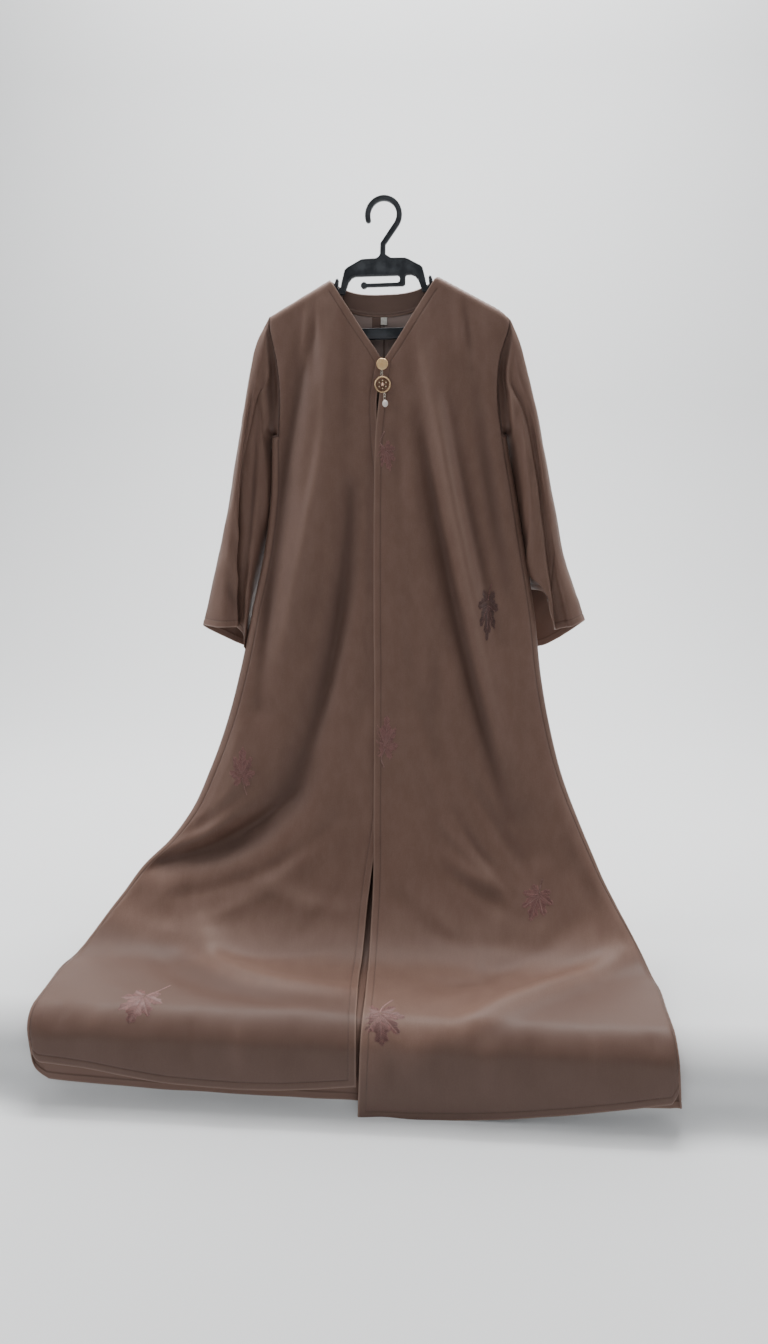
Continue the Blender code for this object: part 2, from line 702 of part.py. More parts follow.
def flat_outline(name, outer, holes, thickness, bevel, material):
    """A plate that stands in the XZ plane, cut from an outline with holes, its edges bevelled."""
    curve = bpy.data.curves.new(name, "CURVE")
    curve.dimensions = "2D"
    curve.fill_mode = "BOTH"
    curve.extrude = thickness / 2.0 - bevel
    curve.bevel_depth = bevel
    curve.bevel_resolution = 0
    curve.offset = -bevel
    for outline in [outer] + holes:
        spline = curve.splines.new("POLY")
        spline.points.add(len(outline) - 1)
        spline.use_cyclic_u = True
        for point, (x, z) in zip(spline.points, outline):
            point.co = (x, z, 0.0, 1.0)
    drawn = bpy.data.objects.new(name + "_outline", curve)
    bpy.context.scene.collection.objects.link(drawn)
    ready = drawn.evaluated_get(bpy.context.evaluated_depsgraph_get())
    shape = bmesh.new()
    shape.from_mesh(bpy.data.meshes.new_from_object(ready))
    bpy.data.objects.remove(drawn)
    bmesh.ops.remove_doubles(shape, verts=shape.verts, dist=1e-5)
    bmesh.ops.rotate(shape, verts=shape.verts, matrix=Matrix.Rotation(math.pi / 2.0, 3, "X"))
    return new_object(name, finish_mesh(name, shape, 30.0), material)


def arc(centre, radius, start, end, count):
    """Points along an arc, its angles in degrees."""
    angles = np.radians(np.linspace(start, end, count))
    return [(centre[0] + radius * math.cos(angle), centre[1] + radius * math.sin(angle))
            for angle in angles]


def hanger_seat(reach):
    """Height of a hanger arm's top edge, just under the shoulder seams, before its tilt."""
    return NECK_Z - ARM_SLOPE * (reach - NECK_HALF) - WALL - SEAT_CLEARANCE


def hook_outline():
    """Both sides of the hook and its stem, from the stem's right foot round to its left foot."""
    centre = (0.0, -(HOOK_RADIUS - HOOK_HALF))
    line = [(STEM_X, STEM_FOOT_Z), (STEM_BEND_X, STEM_BEND_Z)]
    line += arc(centre, HOOK_RADIUS, HOOK_LEAVES, HOOK_ENDS, HOOK_POINTS)
    line = np.array(line)
    run = np.diff(line, axis=0)
    run /= np.linalg.norm(run, axis=1, keepdims=True)
    run = np.concatenate([run[:1], run]) + np.concatenate([run, run[-1:]])
    run /= np.linalg.norm(run, axis=1, keepdims=True)
    aside = np.stack([run[:, 1], -run[:, 0]], axis=1) * HOOK_HALF
    right, left = line + aside, line - aside
    tip_angle = math.degrees(math.atan2(aside[-1][1], aside[-1][0]))
    tip = arc(line[-1], HOOK_HALF, tip_angle + 30.0, tip_angle + 150.0, 5)
    return [tuple(point) for point in right] + tip + [tuple(point) for point in left[::-1]]


class HalfOutline(NamedTuple):
    """A corner of the hanger's outline on its +X side, in millimetres."""
    x: float
    z: float


PLATE_CORNERS = (
    HalfOutline(7.4, -82.2),
    HalfOutline(12.0, -84.8),
    HalfOutline(34.0, -85.4),
    HalfOutline(37.5, -86.6),
    HalfOutline(58.0, -97.2),
    HalfOutline(62.0, -100.8),
    HalfOutline(66.4, -117.0),
    HalfOutline(68.6, -127.2),
    HalfOutline(71.0, -129.2),
    HalfOutline(72.6, -127.6),
    HalfOutline(71.6, -116.2),
    HalfOutline(73.2, -113.4),
    HalfOutline(75.8, -114.0),
    HalfOutline(77.6, -119.0),
)

NECK_DIP = (
    HalfOutline(78.6, -123.2),
    HalfOutline(82.4, -127.0),
    HalfOutline(92.0, -128.6),
)

WINDOW_CORNERS = (
    HalfOutline(44.0, -111.8),
    HalfOutline(50.5, -114.2),
    HalfOutline(55.6, -120.2),
    HalfOutline(58.8, -129.0),
    HalfOutline(62.3, -138.3),
)


def arm_outlines():
    """Outer and window edges of an arm on the +X side, from the neck to the arm's end."""
    reaches = np.linspace(NECK_HALF + 0.012, ARM_END, 6)
    top = [(corner.x * MM, corner.z * MM) for corner in NECK_DIP]
    top += [(reach, hanger_seat(reach)) for reach in reaches]
    depths = ARM_DEPTH_NECK + (ARM_DEPTH_END - ARM_DEPTH_NECK) * np.linspace(0.0, 1.0, 5)
    under = [(reach, hanger_seat(reach) - depth)
             for reach, depth in zip(np.linspace(NECK_HALF, ARM_END - 0.018, 5), depths)]
    end_x, end_z = ARM_END, hanger_seat(ARM_END)
    end = [(end_x + 0.0028, end_z - 0.0042), (end_x + 0.0030, end_z - 0.014),
           (end_x + 0.0005, BAR_TOP_Z - 0.006), (end_x - 0.004, BAR_BOTTOM_Z + 0.002),
           (end_x - 0.008, BAR_BOTTOM_Z)]
    corner = [(ARM_END - 0.0125, BAR_TOP_Z + 0.010), (ARM_END - 0.0145, BAR_TOP_Z + 0.002),
              (ARM_END - 0.0170, BAR_TOP_Z)]
    return top + end, under + corner


def tongue_outline():
    """Left to right, the slot's floor and the round-ended tongue that hangs from its post."""
    slot = [(22.5, -112.2), (25.6, -114.0), (26.3, -117.4), (25.6, -120.9), (22.5, -122.7),
            (10.0, -122.7), (-8.0, -122.7), (-26.0, -122.7)]
    ball = arc((-31.0, -125.4), 5.4, 32.0, 328.0, 10)
    below = [(-26.0, -128.3), (-8.0, -128.3), (10.0, -128.3), (31.0, -128.5), (34.4, -126.6),
             (34.9, -122.0), (34.9, -116.0), (35.6, -112.8), (38.0, -111.8)]
    return [(x * MM, z * MM) for x, z in slot + ball + below]


def mirrored(points):
    """The same points on the other side, in the opposite order."""
    return [(-x, z) for x, z in reversed(points)]


def tilted(points):
    """Points of the hanger with its slight tilt."""
    return [(x, z + HANGER_TILT * x) for x, z in points]


def hanger(material):
    """The moulded hanger: hook, plate with its slot and tongue, arms and the low bar."""
    plate = [(corner.x * MM, corner.z * MM) for corner in PLATE_CORNERS]
    window = [(corner.x * MM, corner.z * MM) for corner in WINDOW_CORNERS]
    arm_outer, arm_inner = arm_outlines()
    right = plate + arm_outer
    outer = hook_outline() + mirrored(right[::-1]) + right[::-1]
    opening = window + arm_inner
    opening = tongue_outline() + opening + mirrored(opening)
    flat_outline("hanger", tilted(outer), [tilted(opening)], HANGER_THICKNESS, HANGER_BEVEL,
                 material)


def ellipse(centre, half_width, half_height, count, turn=0.0):
    """Points round an ellipse, turned by an angle in degrees."""
    angles = np.linspace(0.0, 2.0 * math.pi, count, endpoint=False)
    across_x, up_z = half_width * np.cos(angles), half_height * np.sin(angles)
    cosine, sine = math.cos(math.radians(turn)), math.sin(math.radians(turn))
    return [(centre[0] + x * cosine - z * sine, centre[1] + x * sine + z * cosine)
            for x, z in zip(across_x, up_z)]


def turned_piece(name, profile, count, material):
    """A round piece turned about the Y axis, from pairs of a radius and a place along Y."""
    shape = bmesh.new()
    rings = []
    for radius, along in profile:
        angles = np.linspace(0.0, 2.0 * math.pi, count if radius else 1, endpoint=False)
        rings.append([shape.verts.new((radius * math.cos(angle), along, radius * math.sin(angle)))
                      for angle in angles])
    for one, two in zip(rings, rings[1:]):
        for step in range(count):
            after = (step + 1) % count
            corners = (one[step % len(one)], one[after % len(one)],
                       two[after % len(two)], two[step % len(two)])
            shape.faces.new(tuple(dict.fromkeys(corners)))
    return new_object(name, finish_mesh(name, shape, 35.0), material)


def cloth_in_front(x, z, half_width, half_height):
    """How far forward the lapping front panel reaches behind a small piece, and its slope."""
    heights = np.array([z + half_height, z, z - half_height])
    lengths = length_at(heights)[:, None]
    flat = section_sizes(LEFT, lengths)[0]
    edge = front_edge(LEFT, lengths)
    places = np.maximum(x + np.linspace(-half_width, half_width, 5)[None, :], edge)
    points = body_point(LEFT, (places - edge) / (flat - edge), lengths)
    forward = points[..., 1].min(axis=1)
    lean = math.atan2(forward[2] - forward[0], 2.0 * half_height)
    return min(forward[1], (forward[0] + forward[2]) / 2.0), lean


def hang_on_front(item, x, z, half_width, half_height, stand_off):
    """Place a small piece, modelled about the origin, in front of the cloth along its slope."""
    forward, lean = cloth_in_front(x, z, half_width, half_height)
    place = Matrix.Translation((x, forward - PIECE_GAP - stand_off, z))
    item.data.transform(place @ Matrix.Rotation(lean, 4, "X"))


def link(name, half_height, lean, material):
    """A flat oval link about the origin."""
    outer = ellipse((0.0, 0.0), LINK_HALF_WIDTH, half_height, 16, lean)
    inner = ellipse((0.0, 0.0), LINK_HALF_WIDTH - LINK_RIM, half_height - LINK_RIM, 16, lean)
    return flat_outline(name, outer, [inner], LINK_THICKNESS, LINK_BEVEL, material)


def clasp(gold, pearl):
    """The clasp at the neck: disc, link, openwork medallion, second link and hanging pearl."""
    rim, half = BUTTON_RADIUS, BUTTON_THICKNESS / 2.0
    edge = BUTTON_THICKNESS * 0.28
    profile = ((0.0, half), (rim - edge, half), (rim, half - edge), (rim, edge - half),
               (rim - edge, -half), (rim * 0.6, -half - edge * 0.2), (0.0, -half - edge * 0.4))
    button = turned_piece("clasp_button", profile, 28, gold)
    hang_on_front(button, BUTTON_X, BUTTON_Z, rim, rim, half)

    medallion_half = MEDALLION_THICKNESS / 2.0
    upper = link("link_upper", UPPER_LINK_HALF, 0.0, gold)
    hang_on_front(upper, UPPER_LINK_X, UPPER_LINK_Z, LINK_HALF_WIDTH, UPPER_LINK_HALF,
                  medallion_half)

    holes = []
    for petal in range(MEDALLION_PETALS):
        turn = 360.0 / MEDALLION_PETALS * petal + 90.0
        place = (MEDALLION_HOLE_RADIUS * math.cos(math.radians(turn)),
                 MEDALLION_HOLE_RADIUS * math.sin(math.radians(turn)))
        holes.append(ellipse(place, PETAL_HALF_LENGTH, PETAL_HALF_WIDTH, 8, turn))
    rim = ellipse((0.0, 0.0), MEDALLION_RADIUS, MEDALLION_RADIUS, 36)
    medallion = flat_outline("medallion", rim, holes, MEDALLION_THICKNESS, MEDALLION_BEVEL, gold)
    hang_on_front(medallion, MEDALLION_X, MEDALLION_Z, MEDALLION_RADIUS, MEDALLION_RADIUS,
                  medallion_half)

    lower = link("link_lower", LOWER_LINK_HALF, LOWER_LINK_LEAN, gold)
    hang_on_front(lower, LOWER_LINK_X, LOWER_LINK_Z, LINK_HALF_WIDTH, LOWER_LINK_HALF,
                  LOWER_LINK_STAND_OFF)

    angles = np.radians(np.linspace(90.0, -90.0, 11))
    profile = [(0.0 if place in (0, 10) else float(PEARL_RADIUS * math.cos(angle)),
                float(PEARL_RADIUS * math.sin(angle))) for place, angle in enumerate(angles)]
    bead = turned_piece("pearl", profile, 18, pearl)
    bead.data.transform(Matrix.Diagonal((1.0, 1.0, PEARL_HALF_HEIGHT / PEARL_RADIUS, 1.0)))
    hang_on_front(bead, PEARL_X, PEARL_Z, PEARL_RADIUS * 0.3, PEARL_RADIUS, PEARL_RADIUS)


def plain_material(name, colour, roughness, metallic=0.0):
    """A plain surface of one colour."""
    material = bpy.data.materials.new(name)
    material.use_nodes = True
    surface = material.node_tree.nodes["Principled BSDF"]
    surface.inputs["Base Color"].default_value = (*colour, 1.0)
    surface.inputs["Roughness"].default_value = roughness
    surface.inputs["Metallic"].default_value = metallic
    material.diffuse_color = (*colour, 1.0)
    return material


def main():
    """Build every piece of the kaftan and its hanger."""
    for item in list(bpy.data.objects):
        bpy.data.objects.remove(item, do_unlink=True)
    fabric = plain_material("kaftan_cloth", (0.140, 0.100, 0.082), 0.62)
    inside = plain_material("facing_cloth", (0.150, 0.112, 0.094), 0.66)
    tab = plain_material("label_cloth", (0.720, 0.700, 0.660), 0.70)
    gold = plain_material("clasp_gold", (0.560, 0.400, 0.260), 0.34, 1.0)
    bead = plain_material("pearl_shell", (0.800, 0.740, 0.660), 0.22)
    moulded = plain_material("hanger_plastic", (0.026, 0.030, 0.037), 0.42)
    for side in (RIGHT, LEFT):
        edge_lengths, front_outer, front_inner = front_panel(side, fabric)
        back_outer, back_inner = back_panel(side, edge_lengths, fabric)
        sleeve(side, front_outer, front_inner, back_outer, back_inner, fabric)
    neck_facing(inside)
    label(tab)
    clasp(gold, bead)
    hanger(moulded)


main()
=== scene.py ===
"""Looks of an open-fronted kaftan on a moulded hanger, its skirt swept forward over a low step.

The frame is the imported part, in metres: +Z up, -Y the front, +X the wearer's left. The cloth is
a thin shell on the form of the part's own panels, with the finer creases, hems, seams, stitches
and embroidery of the real garment.
"""
from __future__ import annotations

import logging
import math
from dataclasses import dataclass, field
from enum import Enum
from typing import Callable, Mapping, NamedTuple, Sequence

import bpy
import numpy as np
from mathutils import Matrix, Vector


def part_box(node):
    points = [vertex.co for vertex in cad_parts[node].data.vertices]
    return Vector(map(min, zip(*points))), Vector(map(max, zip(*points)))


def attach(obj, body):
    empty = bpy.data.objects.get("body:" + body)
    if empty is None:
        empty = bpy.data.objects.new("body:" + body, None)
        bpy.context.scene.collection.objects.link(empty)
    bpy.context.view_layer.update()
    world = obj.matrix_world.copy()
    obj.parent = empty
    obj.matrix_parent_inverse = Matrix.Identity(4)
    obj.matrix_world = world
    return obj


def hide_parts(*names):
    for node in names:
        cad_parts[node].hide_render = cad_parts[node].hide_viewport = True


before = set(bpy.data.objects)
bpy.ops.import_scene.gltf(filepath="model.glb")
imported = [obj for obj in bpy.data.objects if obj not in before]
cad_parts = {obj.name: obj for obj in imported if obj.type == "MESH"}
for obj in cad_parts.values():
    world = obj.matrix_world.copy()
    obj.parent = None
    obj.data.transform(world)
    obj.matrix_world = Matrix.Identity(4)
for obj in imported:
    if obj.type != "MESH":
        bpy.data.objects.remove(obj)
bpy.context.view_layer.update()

LOG = logging.getLogger("kaftan")
MM = 0.001
BODY = "root"
FULL_TURN = 2.0 * math.pi
# How far a hem's stitches lie from its edge, and the neck slope's down the path from its top.
HEM_LINE = 0.0105
NECK_LINE = 0.0193

Array = np.ndarray
Pair = tuple[float, float]
Triple = tuple[float, float, float]
Piece = bpy.types.Object
Material = bpy.types.Material


# Cloth form

def table(kind: Callable[..., NamedTuple], *rows: Sequence[float]) -> tuple:
    """Rows of a table, each made of its numbers."""
    return tuple(kind(*row) for row in rows)


class SideName(Enum):
    """The two halves of the garment, as the wearer has them."""

    RIGHT = "right"
    LEFT = "left"


class Section(NamedTuple):
    """One section of the body, in millimetres, at a length down the path."""

    length: float
    reach_right: float
    reach_left: float
    edge_over: float
    lap: float
    depth: float


SECTIONS = table(
    Section,
    (0, 192, 206, 3, -5, 22),
    (75, 192, 206, 3, -5, 24),
    (128, 182, 192, 2, -3, 27),
    (180, 178, 190, -4, -5, 30),
    (245, 182, 199, -10, 2, 36),
    (345, 186, 218, -12, 14, 44),
    (430, 197, 233, -12, 18, 46),
    (530, 217, 250, -11, 18, 46),
    (630, 237, 262, -9, 18, 46),
    (710, 257, 277, -8, 18, 45),
    (790, 284, 298, -7, 15, 42),
    (870, 320, 329, -6, 8, 38),
    (910, 349, 346, -5, 2, 34),
    (950, 388, 363, -4, -4, 29),
    (990, 415, 383, -4, -8, 23),
    (1071, 460, 420, -4, -11, 14),
    (1125, 476, 431, -2, -13, 9),
    (1203, 475, 431, 2, -12, 7),
    (1281, 477, 434, 3, -8, 10),
    (1400, 457, 442, 0, -3, 14),
)


class Crease(NamedTuple):
    """A soft ridge or, with a negative rise, a trough, bent over three places of the cloth.

    Places are an X and a length down the path, in millimetres, as are the spreads and the rise.
    """

    start_x: float
    start_length: float
    bend_x: float
    bend_length: float
    end_x: float
    end_length: float
    start_spread: float
    end_spread: float
    rise: float


FRONT_FOLDS = table(
    Crease,
    (-92, 49, -84, 300, -182, 660, 15, 22, 11),
    (-125, 95, -176, 330, -200, 690, 12, 17, -11),
    (-95, 180, -104, 260, -122, 345, 9, 10, -5),
    (-50, 330, -58, 600, -142, 830, 14, 20, -15),
    (-128, 790, -178, 935, -400, 952, 20, 14, -16),
    (-240, 740, -215, 880, -330, 925, 22, 16, 13),
    (-213, 815, -262, 880, -330, 902, 9, 8, -6),
    (70, 60, 96, 330, 228, 820, 13, 21, 12),
    (100, 180, 140, 380, 190, 580, 10, 13, -8),
    (62, 235, 120, 560, 245, 912, 13, 20, -14),
    (140, 150, 168, 350, 216, 530, 9, 12, -6),
    (42, 190, 56, 330, 64, 430, 10, 12, 4),
    (90, 570, 93, 670, 102, 770, 10, 12, -5),
    (136, 784, 196, 880, 256, 964, 9, 8, -5),
    (118, 930, 168, 960, 218, 975, 12, 10, 6),
    (-306, 974, -312, 1040, -306, 1115, 12, 14, -3),
    (-274, 1050, -240, 1190, -20, 1182, 13, 12, 5),
    (138, 1258, 240, 1180, 385, 1070, 16, 14, 7),
    (44, 1288, 48, 1320, 46, 1350, 10, 9, -3),
    (110, 1285, 113, 1320, 112, 1350, 10, 9, -3),
    (-312, 1260, -316, 1290, -312, 1320, 12, 10, -3),
)

FRONT_CREASES = table(
    Crease,
    (-14, 150, -20, 420, -22, 690, 5, 7, -1.6),
    (22, 190, 30, 330, 32, 430, 6, 7, -1.4),
    (150, 145, 168, 300, 204, 500, 7, 9, -2.0),
    (-70, 60, -62, 190, -66, 330, 9, 12, -1.8),
    (-150, 80, -158, 180, -150, 300, 8, 10, 1.8),
    (-36, 480, -60, 640, -118, 790, 7, 9, 1.6),
    (-96, 420, -120, 560, -150, 700, 9, 12, -2.0),
    (36, 520, 60, 700, 120, 850, 9, 12, -1.8),
    (150, 560, 190, 700, 236, 800, 9, 10, 2.0),
    (60, 700, 84, 820, 130, 900, 8, 9, 1.6),
    (-60, 860, -150, 972, -330, 1000, 9, 8, -2.2),
    (-104, 900, -170, 1010, -300, 1040, 10, 9, 1.7),
    (-30, 930, -60, 1010, -150, 1080, 10, 12, -1.5),
    (122, 850, 172, 932, 226, 990, 5, 6, -2.6),
    (96, 862, 150, 930, 196, 955, 6, 6, 2.0),
    (80, 900, 150, 1000, 260, 1020, 8, 9, -1.6),
    (30, 940, 90, 1060, 240, 1090, 10, 12, 1.6),
    (300, 900, 340, 960, 352, 1060, 8, 10, -1.8),
    (40, 1120, 120, 1180, 260, 1120, 12, 12, -1.5),
    (-430, 1120, -400, 1180, -300, 1210, 12, 12, -1.6),
    (-200, 1220, -120, 1245, -60, 1238, 10, 10, 1.4),
    (-170, 1270, -172, 1300, -168, 1340, 8, 7, 1.6),
    (-236, 1265, -240, 1290, -236, 1335, 8, 7, -1.7),
    (-92, 1275, -94, 1305, -90, 1345, 8, 7, -1.3),
    (-380, 1255, -378, 1280, -384, 1310, 9, 8, 1.5),
    (-430, 1250, -432, 1270, -436, 1300, 7, 6, -1.7),
    (176, 1280, 178, 1300, 176, 1345, 9, 8, 1.5),
    (236, 1270, 240, 1290, 238, 1335, 8, 8, -1.6),
    (320, 1262, 324, 1285, 322, 1320, 9, 8, 1.4),
    (398, 1255, 404, 1275, 402, 1300, 8, 7, -1.6),
    (-120, 24, -121, 66, -128, 130, 4, 6, 2.6),
    (-108, 24, -109, 66, -112, 150, 4, 6, -2.4),
    (-72, 18, -72, 60, -78, 150, 5, 7, 1.8),
    (112, 18, 117, 60, 124, 130, 5, 6, 2.8),
    (126, 24, 131, 66, 142, 140, 4, 6, -2.4),
    (158, 40, 166, 90, 176, 170, 5, 7, 1.8),
    (-118, 100, -176, 330, -200, 690, 5, 7, -2.6),
    (-52, 330, -56, 600, -142, 830, 5, 7, -3.6),
    (-139, 823, -205, 900, -359, 946, 6, 6, -4.0),
    (64, 235, 120, 560, 212, 862, 5, 7, -3.2),
    (102, 180, 140, 380, 190, 580, 5, 6, -2.6),
    (-84, 49, -92, 330, -172, 626, 6, 9, 2.4),
    (56, 73, 100, 285, 211, 766, 6, 8, 2.4),
    (-240, 300, -236, 480, -262, 640, 6, 8, -2.2),
    (-274, 1053, -228, 1160, -20, 1186, 16, 14, 4.5),
    (-340, 1090, -300, 1190, -120, 1230, 14, 14, -3.0),
    (139, 1262, 224, 1190, 383, 1069, 16, 14, 5.0),
    (90, 1180, 190, 1120, 330, 1020, 16, 14, -3.0),
    (-200, 960, -120, 1020, -30, 1010, 12, 12, 2.2),
    (-400, 1040, -330, 1070, -220, 1060, 12, 12, 1.8),
    (60, 1010, 120, 1080, 230, 1060, 11, 11, -2.0),
    (-250, 1090, -180, 1110, -60, 1080, 12, 10, -1.6),
)

# Where the cloth turns down over the step, as X and a length down the path; past these lines the
# front is painted darker, as painted shade.
LEFT_BREAK = ((-470, 1020), (-330, 1072), (-272, 1096), (-191, 1160), (-98, 1176), (-10, 1182))
RIGHT_BREAK = ((-10, 1330), (60, 1310), (139, 1262), (210, 1193), (289, 1112), (383, 1069),
               (460, 1030))

BACK_FOLDS = table(
    Crease,
    (-96, 80, -104, 330, -176, 640, 16, 22, -11),
    (-60, 300, -76, 560, -150, 830, 16, 20, 11),
    (-20, 420, -26, 640, -60, 860, 14, 18, -7),
    (80, 90, 98, 330, 196, 700, 15, 22, -12),
    (50, 320, 78, 600, 168, 860, 15, 20, 10),
    (140, 180, 160, 380, 218, 600, 11, 15, 6),
)

BACK_CREASES = table(
    Crease,
    (-150, 70, -160, 220, -158, 380, 8, 11, 1.8),
    (-40, 60, -46, 200, -40, 360, 9, 12, 1.6),
    (36, 80, 44, 220, 36, 380, 8, 11, -1.7),
    (118, 60, 128, 180, 150, 330, 9, 10, 1.8),
    (-110, 420, -150, 620, -220, 820, 9, 13, -2.0),
    (20, 480, 30, 660, 70, 860, 9, 12, 1.8),
    (110, 460, 150, 640, 230, 820, 9, 13, -2.0),
    (-200, 500, -230, 640, -270, 760, 8, 11, 1.8),
    (190, 560, 224, 680, 262, 800, 8, 10, 1.7),
    (-90, 780, -170, 900, -300, 950, 9, 9, 1.8),
    (70, 820, 140, 920, 280, 960, 9, 9, -1.8),
)


class Hem(NamedTuple):
    """Height of the foot across a panel, as a share of the way from the centre to the side."""

    share: float
    front_right: float
    front_left: float
    back_right: float
    back_left: float


HEMS = table(
    Hem,
    (0.00, -1261, -1307, -1288, -1286),
    (0.25, -1272, -1303, -1287, -1283),
    (0.50, -1268, -1289, -1281, -1278),
    (0.75, -1250, -1267, -1262, -1274),
    (1.00, -1240, -1246, -1228, -1270),
)


class SleeveSection(NamedTuple):
    """One section of a sleeve, in millimetres: outer edge, front fold, inner edge, back, lip."""

    outer_x: float
    outer_z: float
    fold_x: float
    fold_z: float
    inner_x: float
    inner_z: float
    back_x: float
    back_z: float
    front_y: float
    back_y: float
    inner_y: float
    lip_x: float
    lip_z: float


RIGHT_SLEEVE = table(
    SleeveSection,
    (206, -214, 200, -290, 176, -367, 198, -296, -21, 12, 8, 190, -352),
    (219, -266, 210, -326, 174, -425, 205, -342, -25, 16, 11, 188, -410),
    (235, -352, 225, -396, 181, -478, 214, -418, -31, 18, 9, 190, -463),
    (252, -446, 234, -474, 192, -548, 225, -502, -38, 19, 9, 203, -534),
    (274, -545, 238, -560, 212, -626, 244, -596, -44, 21, 9, 217, -610),
    (306, -671, 238, -669, 224, -716, 264, -702, -50, 21, 9, 228, -706),
)

LEFT_SLEEVE = table(
    SleeveSection,
    (219, -222, 212, -296, 196, -367, 212, -302, -24, 12, 8, 207, -352),
    (233, -272, 228, -330, 200, -424, 221, -345, -28, 16, 11, 218, -408),
    (253, -350, 243, -394, 209, -476, 238, -415, -33, 18, 9, 227, -462),
    (273, -446, 257, -470, 222, -530, 254, -492, -38, 19, 6, 235, -522),
    (297, -556, 270, -566, 226, -576, 240, -604, -43, 19, -4, 243, -576),
    (333, -656, 284, -670, 241, -608, 256, -704, -48, 20, -3, 262, -608),
)

BACK_DRAGS = table(
    Crease,
    (200, 60, 205, 220, 190, 380, 9, 11, -3.0),
    (236, 80, 228, 240, 214, 400, 9, 10, 2.4),
    (168, 120, 170, 260, 160, 400, 8, 9, 2.0),
)

RIGHT_DRAGS = table(
    Crease,
    (20, 30, 34, 180, 46, 330, 7, 9, 2.2),
    (36, 60, 52, 200, 60, 300, 5, 6, -2.4),
    (92, 60, 88, 200, 96, 330, 5, 6, -3.0),
    (104, 80, 102, 220, 112, 330, 5, 6, 2.0),
    (8, 440, 34, 400, 66, 350, 9, 8, 3.2),
    (14, 350, 34, 320, 58, 270, 8, 7, 2.2),
    (40, 450, 58, 425, 70, 400, 8, 8, -2.4),
) + BACK_DRAGS

LEFT_DRAGS = table(
    Crease,
    (30, 30, 40, 180, 44, 330, 6, 8, -2.0),
    (20, 60, 24, 200, 26, 330, 7, 8, 2.0),
    (30, 372, 44, 360, 58, 372, 3.5, 3.5, -2.6),
    (30, 378, 44, 366, 60, 379, 3, 3, 2.0),
    (10, 470, 26, 440, 30, 410, 8, 8, 3.0),
    (86, 60, 92, 200, 96, 320, 5, 6, 1.8),
) + BACK_DRAGS


@dataclass(frozen=True)
class Side:
    """A side of the garment: its sign along X and the columns of the tables that it reads."""

    name: SideName
    sign: float
    reach: str
    front_hem: str
    back_hem: str
    seam_turn: float
    droop: float
    sleeve: tuple[SleeveSection, ...]

    @property
    def laps(self) -> bool:
        """True for the side whose front lies over the other one."""
        return self.name is SideName.LEFT


RIGHT = Side(SideName.RIGHT, -1.0, "reach_right", "front_right", "back_right", 35 / 180, 0.0,
             RIGHT_SLEEVE)
LEFT = Side(SideName.LEFT, 1.0, "reach_left", "front_left", "back_left", 48 / 180, 9.5,
            LEFT_SLEEVE)


def smoothstep(value: Array | float) -> Array:
    """Ease from 0 to 1 as value goes from 0 to 1."""
    value = np.clip(value, 0.0, 1.0)
    return value * value * (3.0 - 2.0 * value)


def bell(value: Array | float, spread: float) -> Array:
    """A bump of height 1 at 0 that fades over about twice its spread."""
    return np.exp(-(np.asarray(value) / spread) ** 2 / 2.0)


def unit(vectors: Array) -> Array:
    """Vectors scaled to a length of one."""
    return vectors / np.maximum(np.linalg.norm(vectors, axis=-1, keepdims=True), 1e-12)


def walked(points: Array, axis: int) -> Array:
    """Distance walked along a line of points, or along each line of a grid of them.

    Args:
        points: the points.
        axis: the axis along which the lines run.

    Returns:
        The distance from the start at each point.
    """
    step = np.linalg.norm(np.diff(points, axis=axis), axis=-1)
    start = np.zeros_like(np.take(step, [0], axis=axis))
    return np.concatenate([start, np.cumsum(step, axis=axis)], axis=axis)


def cells(index: Array, ring: bool = False) -> Array:
    """Corners of each cell of a grid of point numbers.

    Args:
        index: the grid of numbers.
        ring: True where each row closes on itself.

    Returns:
        The grid's cells, with the four corners of each last.
    """
    after = np.roll(index, -1, axis=1) if ring else index[:, 1:]
    start = index if ring else index[:, :-1]
    return np.stack([start[:-1], after[:-1], after[1:], start[1:]], axis=-1)


def read_lines(at: Array, along: Array, values: Array) -> Array:
    """Read each part of a line's points at distances along it.

    Args:
        at: the distances to read.
        along: the distance of each point.
        values: the points.

    Returns:
        The parts at each distance, last.
    """
    return np.stack([np.interp(at, along, part) for part in values.T], axis=-1)


def through(rows: Sequence, key: str, column: str, at: Array | float) -> Array:
    """Read a smooth curve through one column of a table.

    Args:
        rows: the table's rows.
        key: the column along which the curve runs, in rising order.
        column: the column that gives the curve's values.
        at: places along the key column.

    Returns:
        The curve's values at those places.
    """
    keys = np.array([getattr(row, key) for row in rows], float)
    values = np.array([getattr(row, column) for row in rows], float)
    return blend_through(keys, values, np.gradient(values, keys),
                         np.clip(np.asarray(at, float), keys[0], keys[-1]))


def blend_through(keys: Array, values: Array, slopes: Array, at: Array) -> Array:
    """Read a cubic curve that passes through values with given slopes.

    Args:
        keys: rising places of the values.
        values: one row for each key; a row may be a number or a point.
        slopes: the curve's slope at each key.
        at: places to read.

    Returns:
        The curve's values there.
    """
    index = np.clip(np.searchsorted(keys, at, side="right") - 1, 0, len(keys) - 2)
    span = keys[index + 1] - keys[index]
    part = (at - keys[index]) / span
    shape = np.shape(at) + (1,) * (values.ndim - 1)
    span, part = np.reshape(span, shape), np.reshape(part, shape)
    rise = part * part * (3.0 - 2.0 * part)
    return (values[index] * (1.0 - rise) + values[index + 1] * rise
            + slopes[index] * part * (1.0 - part) ** 2 * span
            + slopes[index + 1] * part * part * (part - 1.0) * span)


